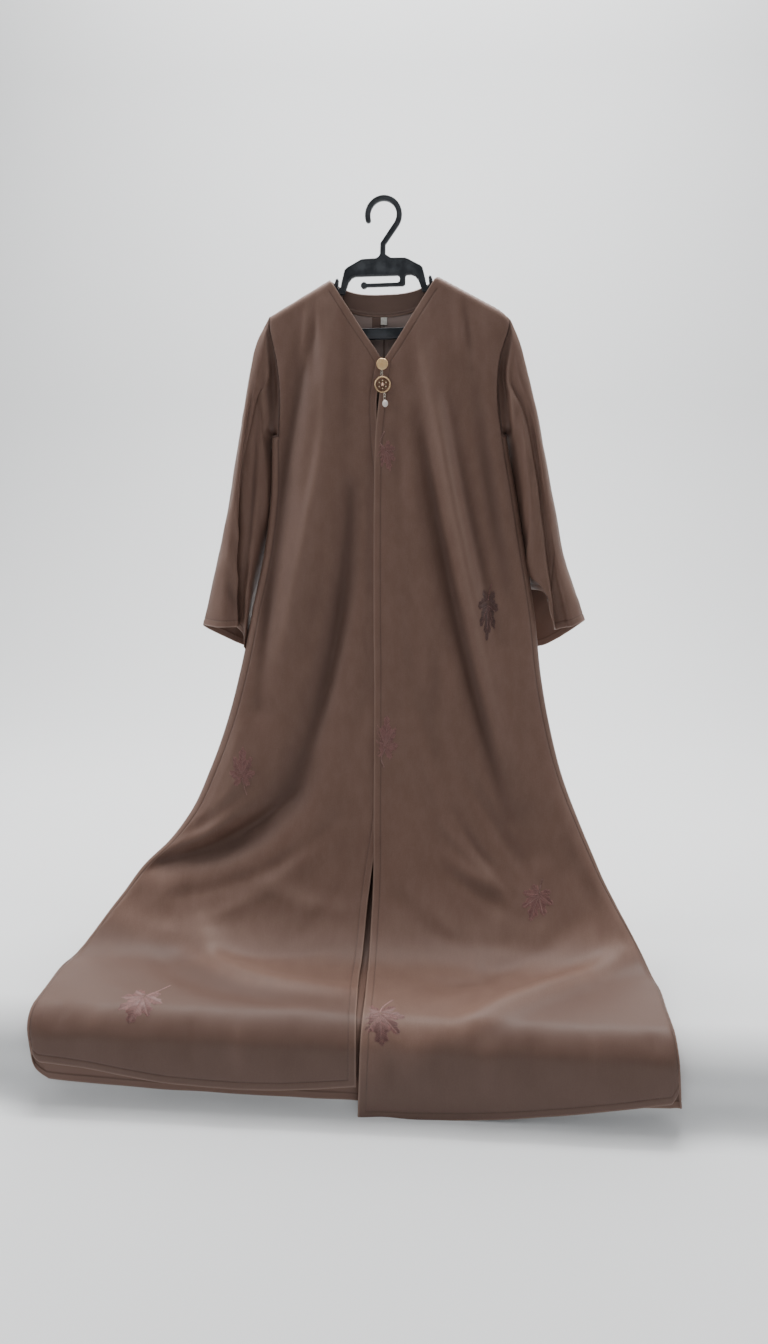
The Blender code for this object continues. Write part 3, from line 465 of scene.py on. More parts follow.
def crease_rise(creases: Sequence[Crease], x: Array, length: Array) -> Array:
    """Height of creases above the plain cloth.

    Args:
        creases: the ridges and troughs.
        x: places along X, in metres.
        length: lengths down the path, in metres.

    Returns:
        The height at each place, in metres.
    """
    steps, swell_at_ends = 8, 0.35
    x, length = np.broadcast_arrays(np.asarray(x, float) / MM, np.asarray(length, float) / MM)
    total = np.zeros(x.shape)
    for crease in creases:
        part = np.arange(steps + 1) / steps
        first, second, third = (1 - part) ** 2, 2 * part * (1 - part), part * part
        line_x = first * crease.start_x + second * crease.bend_x + third * crease.end_x
        line_l = (first * crease.start_length + second * crease.bend_length
                  + third * crease.end_length)
        nearest = np.full(x.shape, np.inf)
        along = np.zeros(x.shape)
        for step in range(steps):
            run_x, run_l = line_x[step + 1] - line_x[step], line_l[step + 1] - line_l[step]
            off_x, off_l = x - line_x[step], length - line_l[step]
            share = np.clip((off_x * run_x + off_l * run_l) / (run_x ** 2 + run_l ** 2), 0.0, 1.0)
            gap = (off_x - share * run_x) ** 2 + (off_l - share * run_l) ** 2
            closer = gap < nearest
            nearest = np.where(closer, gap, nearest)
            along = np.where(closer, (step + share) / steps, along)
        spread = crease.start_spread + (crease.end_spread - crease.start_spread) * along
        swell = swell_at_ends + (1.0 - swell_at_ends) * np.sin(math.pi * along)
        total += crease.rise * swell * np.exp(-nearest / (2.0 * spread * spread))
    return total * MM


@dataclass(frozen=True)
class Ripple:
    """Small irregular waves of the cloth, from a few crossed waves of seeded directions."""

    seed: int
    across: Pair
    down: Pair
    waves: int = 9

    def at(self, x: Array, length: Array) -> Array:
        """Height of the waves, from about -1 to 1.

        Args:
            x: places along X, in metres.
            length: lengths down the path, in metres.

        Returns:
            The waves' height at each place.
        """
        chance = np.random.default_rng(self.seed)
        total = np.zeros(np.broadcast(x, length).shape)
        bend = 0.012 * np.sin(length * 21.0 + self.seed) + 0.010 * np.sin(length * 9.0 + x * 11.0)
        for _ in range(self.waves):
            wide = chance.uniform(*self.across)
            tall = chance.uniform(*self.down)
            lean = chance.choice((-1.0, 1.0))
            start = chance.uniform(0.0, FULL_TURN)
            total += np.sin(FULL_TURN * ((x + bend) / wide + lean * length / tall) + start)
        return total / math.sqrt(self.waves) / 1.4


@dataclass(frozen=True)
class HangingPath:
    """The line that the front follows: a hanging curve, a flat run, an edge and a drop."""

    top_y: float = -0.010
    top_z: float = -0.115
    landing_y: float = -0.250
    bed_z: float = -1.1690
    edge_y: float = -0.415
    edge_radius: float = 0.045

    @property
    def scale(self) -> float:
        """Scale of the hanging curve.

        Returns:
            The radius of the curve at its lowest point.
        """
        span, rise = self.top_y - self.landing_y, self.top_z - self.bed_z
        low, high = 0.01, 2.0
        for _ in range(80):
            middle = (low + high) / 2.0
            if middle * (math.cosh(span / middle) - 1.0) > rise:
                low = middle
            else:
                high = middle
        return (low + high) / 2.0

    @property
    def curve(self) -> float:
        """Length of the hanging curve."""
        return self.scale * math.sinh((self.top_y - self.landing_y) / self.scale)

    @property
    def flat(self) -> float:
        """Length of the flat run."""
        return self.landing_y - self.edge_y - self.edge_radius

    @property
    def drop_start(self) -> float:
        """Length at which the drop starts."""
        return self.curve + self.flat + self.edge_radius * math.pi / 2.0

    def at(self, length: Array) -> tuple[Array, Array, Array, Array]:
        """Point and outward normal of the path.

        Args:
            length: lengths down the path.

        Returns:
            The point's y and z and the normal's y and z.
        """
        scale, curve, flat = self.scale, self.curve, self.flat
        length = np.asarray(length, float)
        left = np.clip(curve - length, 0.0, None)
        run = scale * np.arcsinh(left / scale)
        y = self.landing_y + run - np.clip(length - curve, 0.0, flat)
        z = self.bed_z + scale * (np.cosh(run / scale) - 1.0)
        bend = np.clip((length - curve - flat) / self.edge_radius, 0.0, math.pi / 2.0)
        y = y - self.edge_radius * np.sin(bend)
        z = (z - self.edge_radius * (1.0 - np.cos(bend))
             - np.clip(length - self.drop_start, 0.0, None))
        angle = np.arctan(left / scale) + bend
        return y, z, -np.sin(angle), np.cos(angle)

    def length_at(self, height: Array | float) -> Array:
        """Length down the path at which it reaches a height.

        Args:
            height: heights, in metres.

        Returns:
            The lengths.
        """
        low = np.zeros_like(np.asarray(height, float))
        high = low + self.drop_start + 0.2
        for _ in range(40):
            middle = (low + high) / 2.0
            above = self.at(middle)[1] > height
            low, high = np.where(above, middle, low), np.where(above, high, middle)
        return (low + high) / 2.0


@dataclass(frozen=True)
class BodyForm:
    """The body of the garment as one closed section that changes down the path.

    A place on it is a turn round the section, from 0 at the front edge, past the side fold from
    1 to 2, to 3 at the centre back, and a length down the path.
    """

    path: HangingPath = HangingPath()
    neck_half: float = 0.086
    neck_z: float = -0.1145
    shoulder_slope: float = 0.55
    tilt: float = 0.0175
    droop_start: float = 0.176
    shoulder_radius: float = 0.012
    seam_depth: float = -0.0102
    shoulder_gap: float = 0.0003
    v_point_z: float = -0.2430
    back_neck_z: float = -0.1385
    underarm_z: float = -0.360
    lift: float = 0.0026
    lift_blend: float = 0.045
    clear_inside: float = 0.0046
    # Painted shade on the front where it turns down over the step, and painted light on the lying
    # cloth, as shares of the fold tone.
    turned_painted_shade: float = 0.90
    lying_painted_light: float = 0.30
    step_edge: float = 1.281
    edge_cut: float = 0.0085
    full_depth: float = 0.044
    crease_strength: float = 1.35
    hanging_wave: float = 0.0009
    lying_wave: float = 0.0015
    deep_fold: float = 0.015
    deep_crease: float = 0.0055
    # Width over which the painted shade of the turned-down front comes in.
    turn_width: float = 0.110
    neck_cover: float = 0.8
    bulge_share: float = 1.3
    bulge_least: float = 0.006
    lean_start: float = 0.300
    relief_top: Pair = (0.02, 0.08)
    # Span down the path over which the painted light of the lying cloth comes in.
    lying_relief: Pair = (0.86, 0.16)
    lying_light_span: Pair = (0.90, 0.12)
    edge_spread: float = 0.034
    hanging_ripple: Ripple = Ripple(11, (0.050, 0.100), (0.35, 0.90))
    lying_ripple: Ripple = Ripple(23, (0.070, 0.200), (0.060, 0.160))

    def value(self, column: str, length: Array | float) -> Array:
        """A column of the sections, in metres, at lengths in metres."""
        return through(SECTIONS, "length", column, np.asarray(length) / MM) * MM

    def front_edge(self, side: Side, length: Array | float) -> Array:
        """Where a front's free edge lies along X."""
        over = self.value("edge_over", length)
        return over if side.laps else over + self.value("lap", length)

    def sizes(self, side: Side, length: Array | float) -> tuple[Array, Array, Array]:
        """Distance from the centre plane to the side fold, the fold's bulge and the depth.

        Args:
            side: the side of the garment.
            length: lengths down the path, in metres.

        Returns:
            The three sizes, in metres.
        """
        depth = self.value("depth", length)
        bulge = self.bulge_share * depth / 2.0 + self.bulge_least
        return self.value(side.reach, length) - bulge, bulge, depth

    def across(self, side: Side, turn: Array, length: Array) -> Array:
        """Distance from the centre plane at a turn round the section.

        Args:
            side: the side of the garment.
            turn: turns round the section.
            length: lengths down the path, in metres.

        Returns:
            The distances.
        """
        flat, bulge, _ = self.sizes(side, length)
        edge = side.sign * self.front_edge(side, length)
        on_front = edge + (flat - edge) * np.clip(turn, 0.0, 1.0)
        on_back = flat * np.clip(3.0 - turn, 0.0, 1.0)
        angle = math.pi * np.clip(turn - 1.0, 0.0, 1.0)
        return np.where(turn < 1.0, on_front, on_back) + bulge * np.sin(angle)

    def shoulder(self, side: Side, reach: Array) -> Array:
        """Height of the shoulder seam at a distance from the centre plane.

        Args:
            side: the side of the garment.
            reach: distances from the centre plane.

        Returns:
            The heights.
        """
        past = np.clip(reach - self.droop_start, 0.0, None)
        drop = self.shoulder_slope * np.clip(reach - self.neck_half, 0.0, None)
        return self.neck_z - drop - side.droop * past * past + self.tilt * side.sign * reach

    def back_neck(self, side: Side, reach: Array) -> Array:
        """Height of the back neckline at a distance from the centre plane."""
        rise = (self.neck_z - self.back_neck_z) * (reach / self.neck_half) ** 3
        return self.back_neck_z + rise + self.tilt * side.sign * reach

    def v_line(self, side: Side, reach: Array, edge: Array) -> Array:
        """Height of the front neck slope between the free edge and the neck point.

        Args:
            side: the side of the garment.
            reach: distances from the centre plane.
            edge: where the free edge lies, as such a distance.

        Returns:
            The heights.
        """
        top = float(self.shoulder(side, self.neck_half))
        share = np.clip((reach - edge) / (self.neck_half - edge), 0.0, 1.0)
        return self.v_point_z + (top - self.v_point_z) * share

    def point(self, side: Side, turn: Array, length: Array, fine: float = 1.0) -> Array:
        """Points on the outside of the body.

        Args:
            side: the side of the garment.
            turn: turns round its section.
            length: lengths down the path.
            fine: how much of the fine creases is laid on the main folds, from 0 to 1.

        Returns:
            The points, with x, y and z last.
        """
        turn, length = np.broadcast_arrays(np.asarray(turn, float), np.asarray(length, float))
        flat, bulge, depth = self.sizes(side, length)
        reach = self.across(side, turn, length)
        x = side.sign * reach
        angle = math.pi * np.clip(turn - 1.0, 0.0, 1.0)
        out = depth / 2.0 * (np.cos(angle) - 1.0)

        on_front = 1.0 - smoothstep(turn - 1.0)
        fade = 1.0 - smoothstep((reach - flat) / bulge)
        room = depth - self.clear_inside
        front = crease_rise(FRONT_FOLDS, x, length)
        front = np.where(front < 0.0, room * np.tanh(front / room), front)
        back = crease_rise(BACK_FOLDS, x, length) * np.clip(depth / self.full_depth, 0.0, 1.0) ** 2
        out = out + fade * (on_front * front + (1.0 - on_front) * back)
        out = out + fine * self.fine_relief(x, length, depth, on_front, fade)

        near_edge = 1.0 - smoothstep(np.abs(x - self.front_edge(LEFT, length)) / self.lift_blend)
        lift = self.lift / 2.0 if side.laps else -self.lift / 2.0
        out = out + np.where(turn < 1.0, near_edge * lift, 0.0)

        y, z, normal_y, normal_z = self.path.at(length)
        normal_z = normal_z * smoothstep(length / self.lean_start)
        inside_neck = np.clip(self.neck_half - reach, 0.0, None)
        top = self.shoulder(side, reach) + self.neck_cover * inside_neck
        below = np.clip((top - z + 0.00002) / self.shoulder_radius, 0.0, 1.0)
        round_over = 1.0 - np.sqrt(1.0 - (1.0 - below) ** 2)
        seam = self.seam_depth + np.where(turn < 1.5, 0.5, -0.5) * self.shoulder_gap
        out = out * (1.0 - round_over) + seam * round_over
        return np.stack([x, y + normal_y * out, z + normal_z * out], axis=-1)

    @staticmethod
    def eased(length: Array, span: Pair) -> Array:
        """Ease from 0 to 1 down the path, over a span given by its start and its length."""
        return smoothstep((length - span[0]) / span[1])

    def fine_relief(self, x: Array, length: Array, depth: Array, on_front: Array,
                    fade: Array) -> Array:
        """Fine creases and small irregular waves, as a height above the main folds.

        Args:
            x: places along X, in metres.
            length: lengths down the path, in metres.
            depth: the body's depth there.
            on_front: 1 on the front, 0 on the back.
            fade: 1 on the flat of the body, 0 round its side fold.

        Returns:
            The height at each place.
        """
        lying = self.eased(length, self.lying_relief)
        front = self.crease_strength * crease_rise(FRONT_CREASES, x, length)
        back = crease_rise(BACK_CREASES, x, length) * np.clip(depth / self.full_depth, 0.0, 1.0)
        waves = (self.hanging_wave * (1.0 - lying) * self.hanging_ripple.at(x, length)
                 + self.lying_wave * lying * self.lying_ripple.at(x, length))
        cut = self.edge_cut * bell(length - self.step_edge, self.edge_spread)
        begin = self.eased(length, self.relief_top)
        room = np.clip(depth / 0.030, 0.3, 1.0)
        folds = fade * (on_front * front + (1.0 - on_front) * back)
        return begin * (folds + waves * room) - cut

    def painted_light_share(self, x: Array, length: Array, front: bool) -> Array:
        """How far the cloth stands in or out of its folds, from -1 in a trough to 1 on a ridge,
        with painted light on the lying cloth and painted shade on the front past where it turns
        down over the step.

        Args:
            x: places along X, in metres.
            length: lengths down the path, in metres.
            front: True for the front, False for the back.

        Returns:
            The share at each place.
        """
        folds, creases = (FRONT_FOLDS, FRONT_CREASES) if front else (BACK_FOLDS, BACK_CREASES)
        height = (crease_rise(folds, x, length) / self.deep_fold
                  + crease_rise(creases, x, length) / self.deep_crease)
        edge = self.front_edge(LEFT, length)
        left, right = np.array(LEFT_BREAK) * MM, np.array(RIGHT_BREAK) * MM
        turned = np.where(x < edge, np.interp(x, left[:, 0], left[:, 1]),
                          np.interp(x, right[:, 0], right[:, 1]))
        # Painted shade past the break lines on the front, and painted light on the lying cloth.
        over = smoothstep((length - turned) / self.turn_width + 0.5) if front else 0.0
        lying = self.eased(length, self.lying_light_span) * (1.0 - over)
        return np.clip(height + self.lying_painted_light * lying - self.turned_painted_shade * over, -1.0, 1.0)


FORM = BodyForm()
# Distance to the neck slope for a length below it, the scale on which it ends past the neck
# point, and how fast the shoulder seam falls away inside that point.
SLOPE_SHARE = 0.545
OUTSIDE = 0.01
NECK_STEEPNESS = 3.0


# Meshes

@dataclass
class Sheet:
    """A grid of points of thin cloth, with what the finish reads at each of them."""

    outer: Array
    edge: Array
    seam: Array
    place: Array
    ring: bool = False
    keep: Array | None = None
    flip: bool = False
    # Fold tone of each point, from -1 to 1, for the finish's painted shade and painted highlight.
    fold: Array | float = 0.0
    hem_width: float = HEM_LINE
    wall: float = 0.0006
    hem_extra: float = 0.0009
    stitch_depth: float = 0.00045
    seam_depth: float = 0.00075
    hem_wave: float = 0.0108
    seam_wave: float = 0.0130
    normal: Array = field(init=False)
    inner: Array = field(init=False)

    def __post_init__(self) -> None:
        """Work out the normals, press in the stitch lines and give the cloth its thickness."""
        self.normal = self.normals(self.outer)
        band = smoothstep((self.hem_width - self.edge) / 0.0012 + 0.5)
        along = self.place[..., 0] + self.place[..., 1]
        off_hem = self.edge - self.hem_width
        pucker = np.sin(FULL_TURN * along / self.hem_wave) * bell(off_hem, 0.004)
        drawn = np.sin(FULL_TURN * along / self.seam_wave + 1.0) * bell(self.seam, 0.005)
        lift = (0.00030 * band - self.stitch_depth * bell(off_hem, 0.0007)
                - self.seam_depth * bell(self.seam, 0.0012) + 0.00016 * pucker + 0.00018 * drawn)
        self.outer = self.outer + self.normal * lift[..., None]
        thick = self.wall + self.hem_extra * band
        self.normal = self.normals(self.outer)
        self.inner = self.outer - self.normal * thick[..., None]

    def normals(self, points: Array) -> Array:
        """Outward normals of a grid of points.

        Args:
            points: the points.

        Returns:
            A normal of length one for each point.
        """
        if self.ring:
            around = np.roll(points, -1, axis=1) - np.roll(points, 1, axis=1)
        else:
            around = np.gradient(points, axis=1)
        normal = unit(np.cross(np.gradient(points, axis=0), around))
        return -normal if self.flip else normal

    def build(self, name: str, finish: Material) -> Piece:
        """Make the cloth's mesh, with a rounded rim along every edge.

        Args:
            name: the piece's name.
            finish: its material.

        Returns:
            The piece.
        """
        rows, columns = self.outer.shape[:2]
        index = np.arange(rows * columns).reshape(rows, columns)
        quads = cells(index, self.ring)
        if self.keep is not None:
            quads = quads[self.keep]
        quads = quads.reshape(-1, 4)
        outline, inward = self.rim(quads, rows * columns)

        outer, inner = self.outer.reshape(-1, 3), self.inner.reshape(-1, 3)
        count = len(outer)
        thick = np.linalg.norm(outer - inner, axis=1)
        push = np.zeros_like(outer)
        ends = outline.ravel()
        away = outer[outline].mean(axis=1) - outer[inward]
        run = unit(outer[outline[:, 1]] - outer[outline[:, 0]])
        away = unit(away - run * (away * run).sum(axis=1, keepdims=True))
        np.add.at(push, ends, np.repeat(away, 2, axis=0))
        middle = (outer + inner) / 2.0 + unit(push) * thick[:, None] * 0.5
        edge_points = np.unique(ends)
        lookup = np.full(count, -1)
        lookup[edge_points] = 2 * count + np.arange(len(edge_points))
        points = np.concatenate([outer, inner, middle[edge_points]])

        first, second = outline[:, 0], outline[:, 1]
        rims = np.concatenate([
            np.stack([second, first, lookup[first], lookup[second]], axis=1),
            np.stack([lookup[second], lookup[first], first + count, second + count], axis=1),
        ])
        faces = np.concatenate([quads, quads[:, ::-1] + count, rims])
        if not self.flip:
            faces = faces[:, ::-1]
        source = np.concatenate([np.arange(count), np.arange(count), edge_points])
        place = self.place.reshape(-1, 3)[source].copy()
        place[count:2 * count, 2] = 1.0
        used = np.unique(faces)
        renumber = np.full(len(points), -1)
        renumber[used] = np.arange(len(used))
        values = {"place": place[used], "edge": self.edge.ravel()[source][used],
                  "seam": self.seam.ravel()[source][used],
                  "fold": np.broadcast_to(self.fold, self.edge.shape).ravel()[source][used]}
        return make_piece(name, points[used], renumber[faces], finish, values)

    @staticmethod
    def rim(quads: Array, count: int) -> tuple[Array, Array]:
        """Find the edges that belong to one face, and a point of that face off each edge.

        Args:
            quads: the grid's faces.
            count: how many points it has.

        Returns:
            The edges' two ends, and the point off each edge.
        """
        sides = np.concatenate([quads[:, [k, (k + 1) % 4]] for k in range(4)])
        across = np.concatenate([quads[:, (k + 3) % 4] for k in range(4)])
        keys = np.sort(sides, axis=1) @ np.array([count, 1])
        _, found, uses = np.unique(keys, return_index=True, return_counts=True)
        alone = found[uses == 1]
        return sides[alone], across[alone]


def make_piece(name: str, points: Array, faces: Array, finish: Material,
               values: Mapping[str, Array] | None = None) -> Piece:
    """Make a smooth mesh piece that rides on the body.

    Args:
        name: the piece's name.
        points: its points.
        faces: its faces, as rows of point numbers.
        finish: its material.
        values: what its finish reads at each point, by name; numbers or vectors.

    Returns:
        The piece.
    """
    mesh = bpy.data.meshes.new(name)
    mesh.vertices.add(len(points))
    mesh.vertices.foreach_set("co", np.asarray(points, np.float32).ravel())
    mesh.loops.add(faces.size)
    mesh.loops.foreach_set("vertex_index", faces.astype(np.int32).ravel())
    mesh.polygons.add(len(faces))
    starts = np.arange(len(faces), dtype=np.int32) * faces.shape[1]
    mesh.polygons.foreach_set("loop_start", starts)
    mesh.update(calc_edges=True)
    for key, numbers in (values or {}).items():
        if numbers.ndim == 1:
            mesh.attributes.new(key, "FLOAT", "POINT").data.foreach_set(
                "value", numbers.astype(np.float32))
        else:
            mesh.attributes.new(key, "FLOAT_VECTOR", "POINT").data.foreach_set(
                "vector", numbers.astype(np.float32).ravel())
    mesh.validate()
    mesh.shade_smooth()
    mesh.materials.append(finish)
    piece = bpy.data.objects.new(name, mesh)
    bpy.context.scene.collection.objects.link(piece)
    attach(piece, BODY)
    return piece


@dataclass
class Strands:
    """Short raised threads, each laid from one place to another over a surface."""

    width: float
    height: float

    def build(self, name: str, line: Array, normal: Array, finish: Material,
              seed: int) -> Piece:
        """Make one mesh of every thread.

        Args:
            name: the piece's name.
            line: points of each thread's line, in rows of stations.
            normal: the surface's normals at those points.
            finish: the threads' material.
            seed: start of the threads' small differences.

        Returns:
            The piece.
        """
        count, stations = line.shape[:2]
        chance = np.random.default_rng(seed)
        part = np.linspace(0.0, 1.0, stations)
        arch = np.sin(math.pi * np.clip(part, 0.04, 0.96)) ** 0.5
        run = unit(np.gradient(line, axis=1))
        aside = unit(np.cross(normal, run))
        wide = self.width * chance.uniform(0.88, 1.12, (count, 1, 1)) / 2.0
        tall = self.height * chance.uniform(0.85, 1.15, (count, 1, 1))
        taper = (0.55 + 0.45 * arch)[None, :, None]
        base = line - normal * 0.0001
        rows = np.stack([base - aside * wide * taper,
                         base + normal * tall * arch[None, :, None],
                         base + aside * wide * taper], axis=2)
        index = np.arange(count * stations * 3).reshape(count, stations, 3)
        faces = np.concatenate([
            np.stack([index[:, :-1, side], index[:, 1:, side], index[:, 1:, side + 1],
                      index[:, :-1, side + 1]], axis=-1).reshape(-1, 4) for side in range(2)])
        tone = np.broadcast_to(chance.uniform(0.0, 1.0, (count, 1, 1)), index.shape).reshape(-1)
        spot = np.stack([np.broadcast_to(part[None, :, None], index.shape),
                         np.broadcast_to(np.array([-1.0, 0.0, 1.0]), index.shape),
                         np.broadcast_to(np.arange(count)[:, None, None] * 0.37, index.shape)],
                        axis=-1).reshape(-1, 3)
        return make_piece(name, rows.reshape(-1, 3), faces, finish, {"tone": tone, "place": spot})


# Thread of every seam and hem.
SEWING = Strands(0.00048, 0.00030)
SEWING_SEED = 5


@dataclass
class StitchLine:
    """A row of sewing stitches along a line of the cloth."""

    points: Array
    normals: Array
    pitch: float = 0.0031
    gap: float = 0.0008
    stations: int = 4

    def lines(self) -> tuple[Array, Array]:
        """Each stitch's line and its normals, in rows of stations.

        Returns:
            The lines and the normals.
        """
        along = walked(self.points, 0)
        starts = np.arange(self.pitch, along[-1] - self.pitch, self.pitch)
        at = starts[:, None] + np.linspace(0.0, self.pitch - self.gap, self.stations)[None, :]
        return read_lines(at, along, self.points), unit(read_lines(at, along, self.normals))


# Finishes

class Paint:
    """A material in the making: it adds nodes and joins them to the surface's sockets."""

    def __init__(self, name: str) -> None:
        """Start a material with one plain surface.

        Args:
            name: the material's name.
        """
        self.material = bpy.data.materials.new(name)
        self.material.use_nodes = True
        self.tree = self.material.node_tree
        self.surface = self.tree.nodes["Principled BSDF"]

    def node(self, kind: str, settings: Mapping[str, object] | None = None,
             inputs: Mapping[int | str, object] | None = None) -> bpy.types.Node:
        """Add one node.

        Args:
            kind: the node's type.
            settings: its settings.
            inputs: numbers, colours or links for its sockets.

        Returns:
            The node.
        """
        made = self.tree.nodes.new(kind)
        for key, value in (settings or {}).items():
            setattr(made, key, value)
        for key, value in (inputs or {}).items():
            self.join(made.inputs[key], value)
        return made

    def join(self, socket: bpy.types.NodeSocket, value: object) -> None:
        """Link a socket, or set it to a number or colour.

        Args:
            socket: the socket.
            value: a link, a number or a colour.
        """
        if isinstance(value, Value):
            self.tree.links.new(value.socket, socket)
        elif isinstance(value, (tuple, list)) and len(value) == 3 and socket.type == "RGBA":
            socket.default_value = (*value, 1.0)
        else:
            socket.default_value = value

    def value(self, kind: str, settings: Mapping[str, object] | None = None,
              inputs: Mapping[int | str, object] | None = None, output: int | str = 0) -> Value:
        """Add one node and take one of its outputs as a value."""
        return Value(self, self.node(kind, settings, inputs).outputs[output])

    def attribute(self, name: str, output: str = "Fac") -> Value:
        """What the mesh holds under a name."""
        return self.value("ShaderNodeAttribute", {"attribute_name": name}, output=output)

    def where(self) -> Value:
        """The place on the piece."""
        return self.value("ShaderNodeTexCoord", output="Object")

    def bend(self) -> Value:
        """How far the surface bends out, above a half, or in, below a half."""
        return self.value("ShaderNodeNewGeometry", output="Pointiness")

    def parts(self, vector: Value) -> list[Value]:
        """The three parts of a vector."""
        split = self.node("ShaderNodeSeparateXYZ", inputs={0: vector})
        return [Value(self, part) for part in split.outputs]

    def noise(self, vector: Value, scale: float | Triple, detail: float = 2.0,
              roughness: float = 0.5) -> Value:
        """Soft noise from 0 to 1 over a vector.

        Args:
            vector: the vector.
            scale: how fine it is, as one number or as one for each part of the vector.
            detail: how many finer layers it has.
            roughness: how strong they are.

        Returns:
            The noise.
        """
        if isinstance(scale, tuple):
            vector, scale = self.value("ShaderNodeVectorMath", {"operation": "MULTIPLY"},
                                       {0: vector, 1: scale}), 1.0
        return self.value("ShaderNodeTexNoise", inputs={
            "Vector": vector, "Scale": scale, "Detail": detail, "Roughness": roughness})

    def fit(self, value: Value, low: float, high: float, to_low: float = 0.0,
            to_high: float = 1.0) -> Value:
        """A value moved smoothly from one range to another, and held there.

        Args:
            value: the value.
            low: start of its range.
            high: end of its range.
            to_low: start of the new range.
            to_high: end of the new range.

        Returns:
            The new value.
        """
        return self.value("ShaderNodeMapRange", {"interpolation_type": "SMOOTHSTEP"}, {
            "Value": value, "From Min": low, "From Max": high, "To Min": to_low,
            "To Max": to_high})

    def mix(self, factor: Value | float, first: object, second: object) -> Value:
        """A mix of two colours.

        Args:
            factor: share of the second colour.
            first: the first colour.
            second: the second colour.

        Returns:
            The colour.
        """
        made = self.node("ShaderNodeMix", {"data_type": "RGBA"})
        for key, value in (("Factor", factor), (6, first), (7, second)):
            self.join(made.inputs[key], value)
        return Value(self, made.outputs[2])

    def bump(self, height: Value, distance: float, strength: float = 1.0) -> Value:
        """A normal that a height makes rough."""
        return self.value("ShaderNodeBump", inputs={
            "Height": height, "Distance": distance, "Strength": strength})

    def dress(self, **sockets: object) -> Material:
        """Join values to the surface's sockets, by their names with spaces as underscores.

        Args:
            sockets: what goes to each socket.

        Returns:
            The material.
        """
        for key, value in sockets.items():
            self.join(self.surface.inputs[key.replace("_", " ")], value)
        return self.material


class Value:
    """A number or vector that a material works out; arithmetic on it adds Math nodes."""

    def __init__(self, paint: Paint, socket: bpy.types.NodeSocket) -> None:
        """Hold one socket of a material."""
        self.paint = paint
        self.socket = socket

    def _with(self, operation: str, *operands: object) -> Value:
        """Add one Math node."""
        return self.paint.value("ShaderNodeMath", {"operation": operation},
                                dict(enumerate(operands)))

    def __add__(self, other: object) -> Value:
        """Sum."""
        return self._with("ADD", self, other)

    def __mul__(self, other: object) -> Value:
        """Product."""
        return self._with("MULTIPLY", self, other)

    def __sub__(self, other: object) -> Value:
        """Difference."""
        return self._with("SUBTRACT", self, other)

    def __rsub__(self, other: object) -> Value:
        """Difference, the other way round."""
        return self._with("SUBTRACT", other, self)

    def sine(self) -> Value:
        """Sine."""
        return self._with("SINE", self)

    def size(self) -> Value:
        """Value without its sign."""
        return self._with("ABSOLUTE", self)

    def most(self, other: object) -> Value:
        """The larger of two values."""
        return self._with("MAXIMUM", self, other)


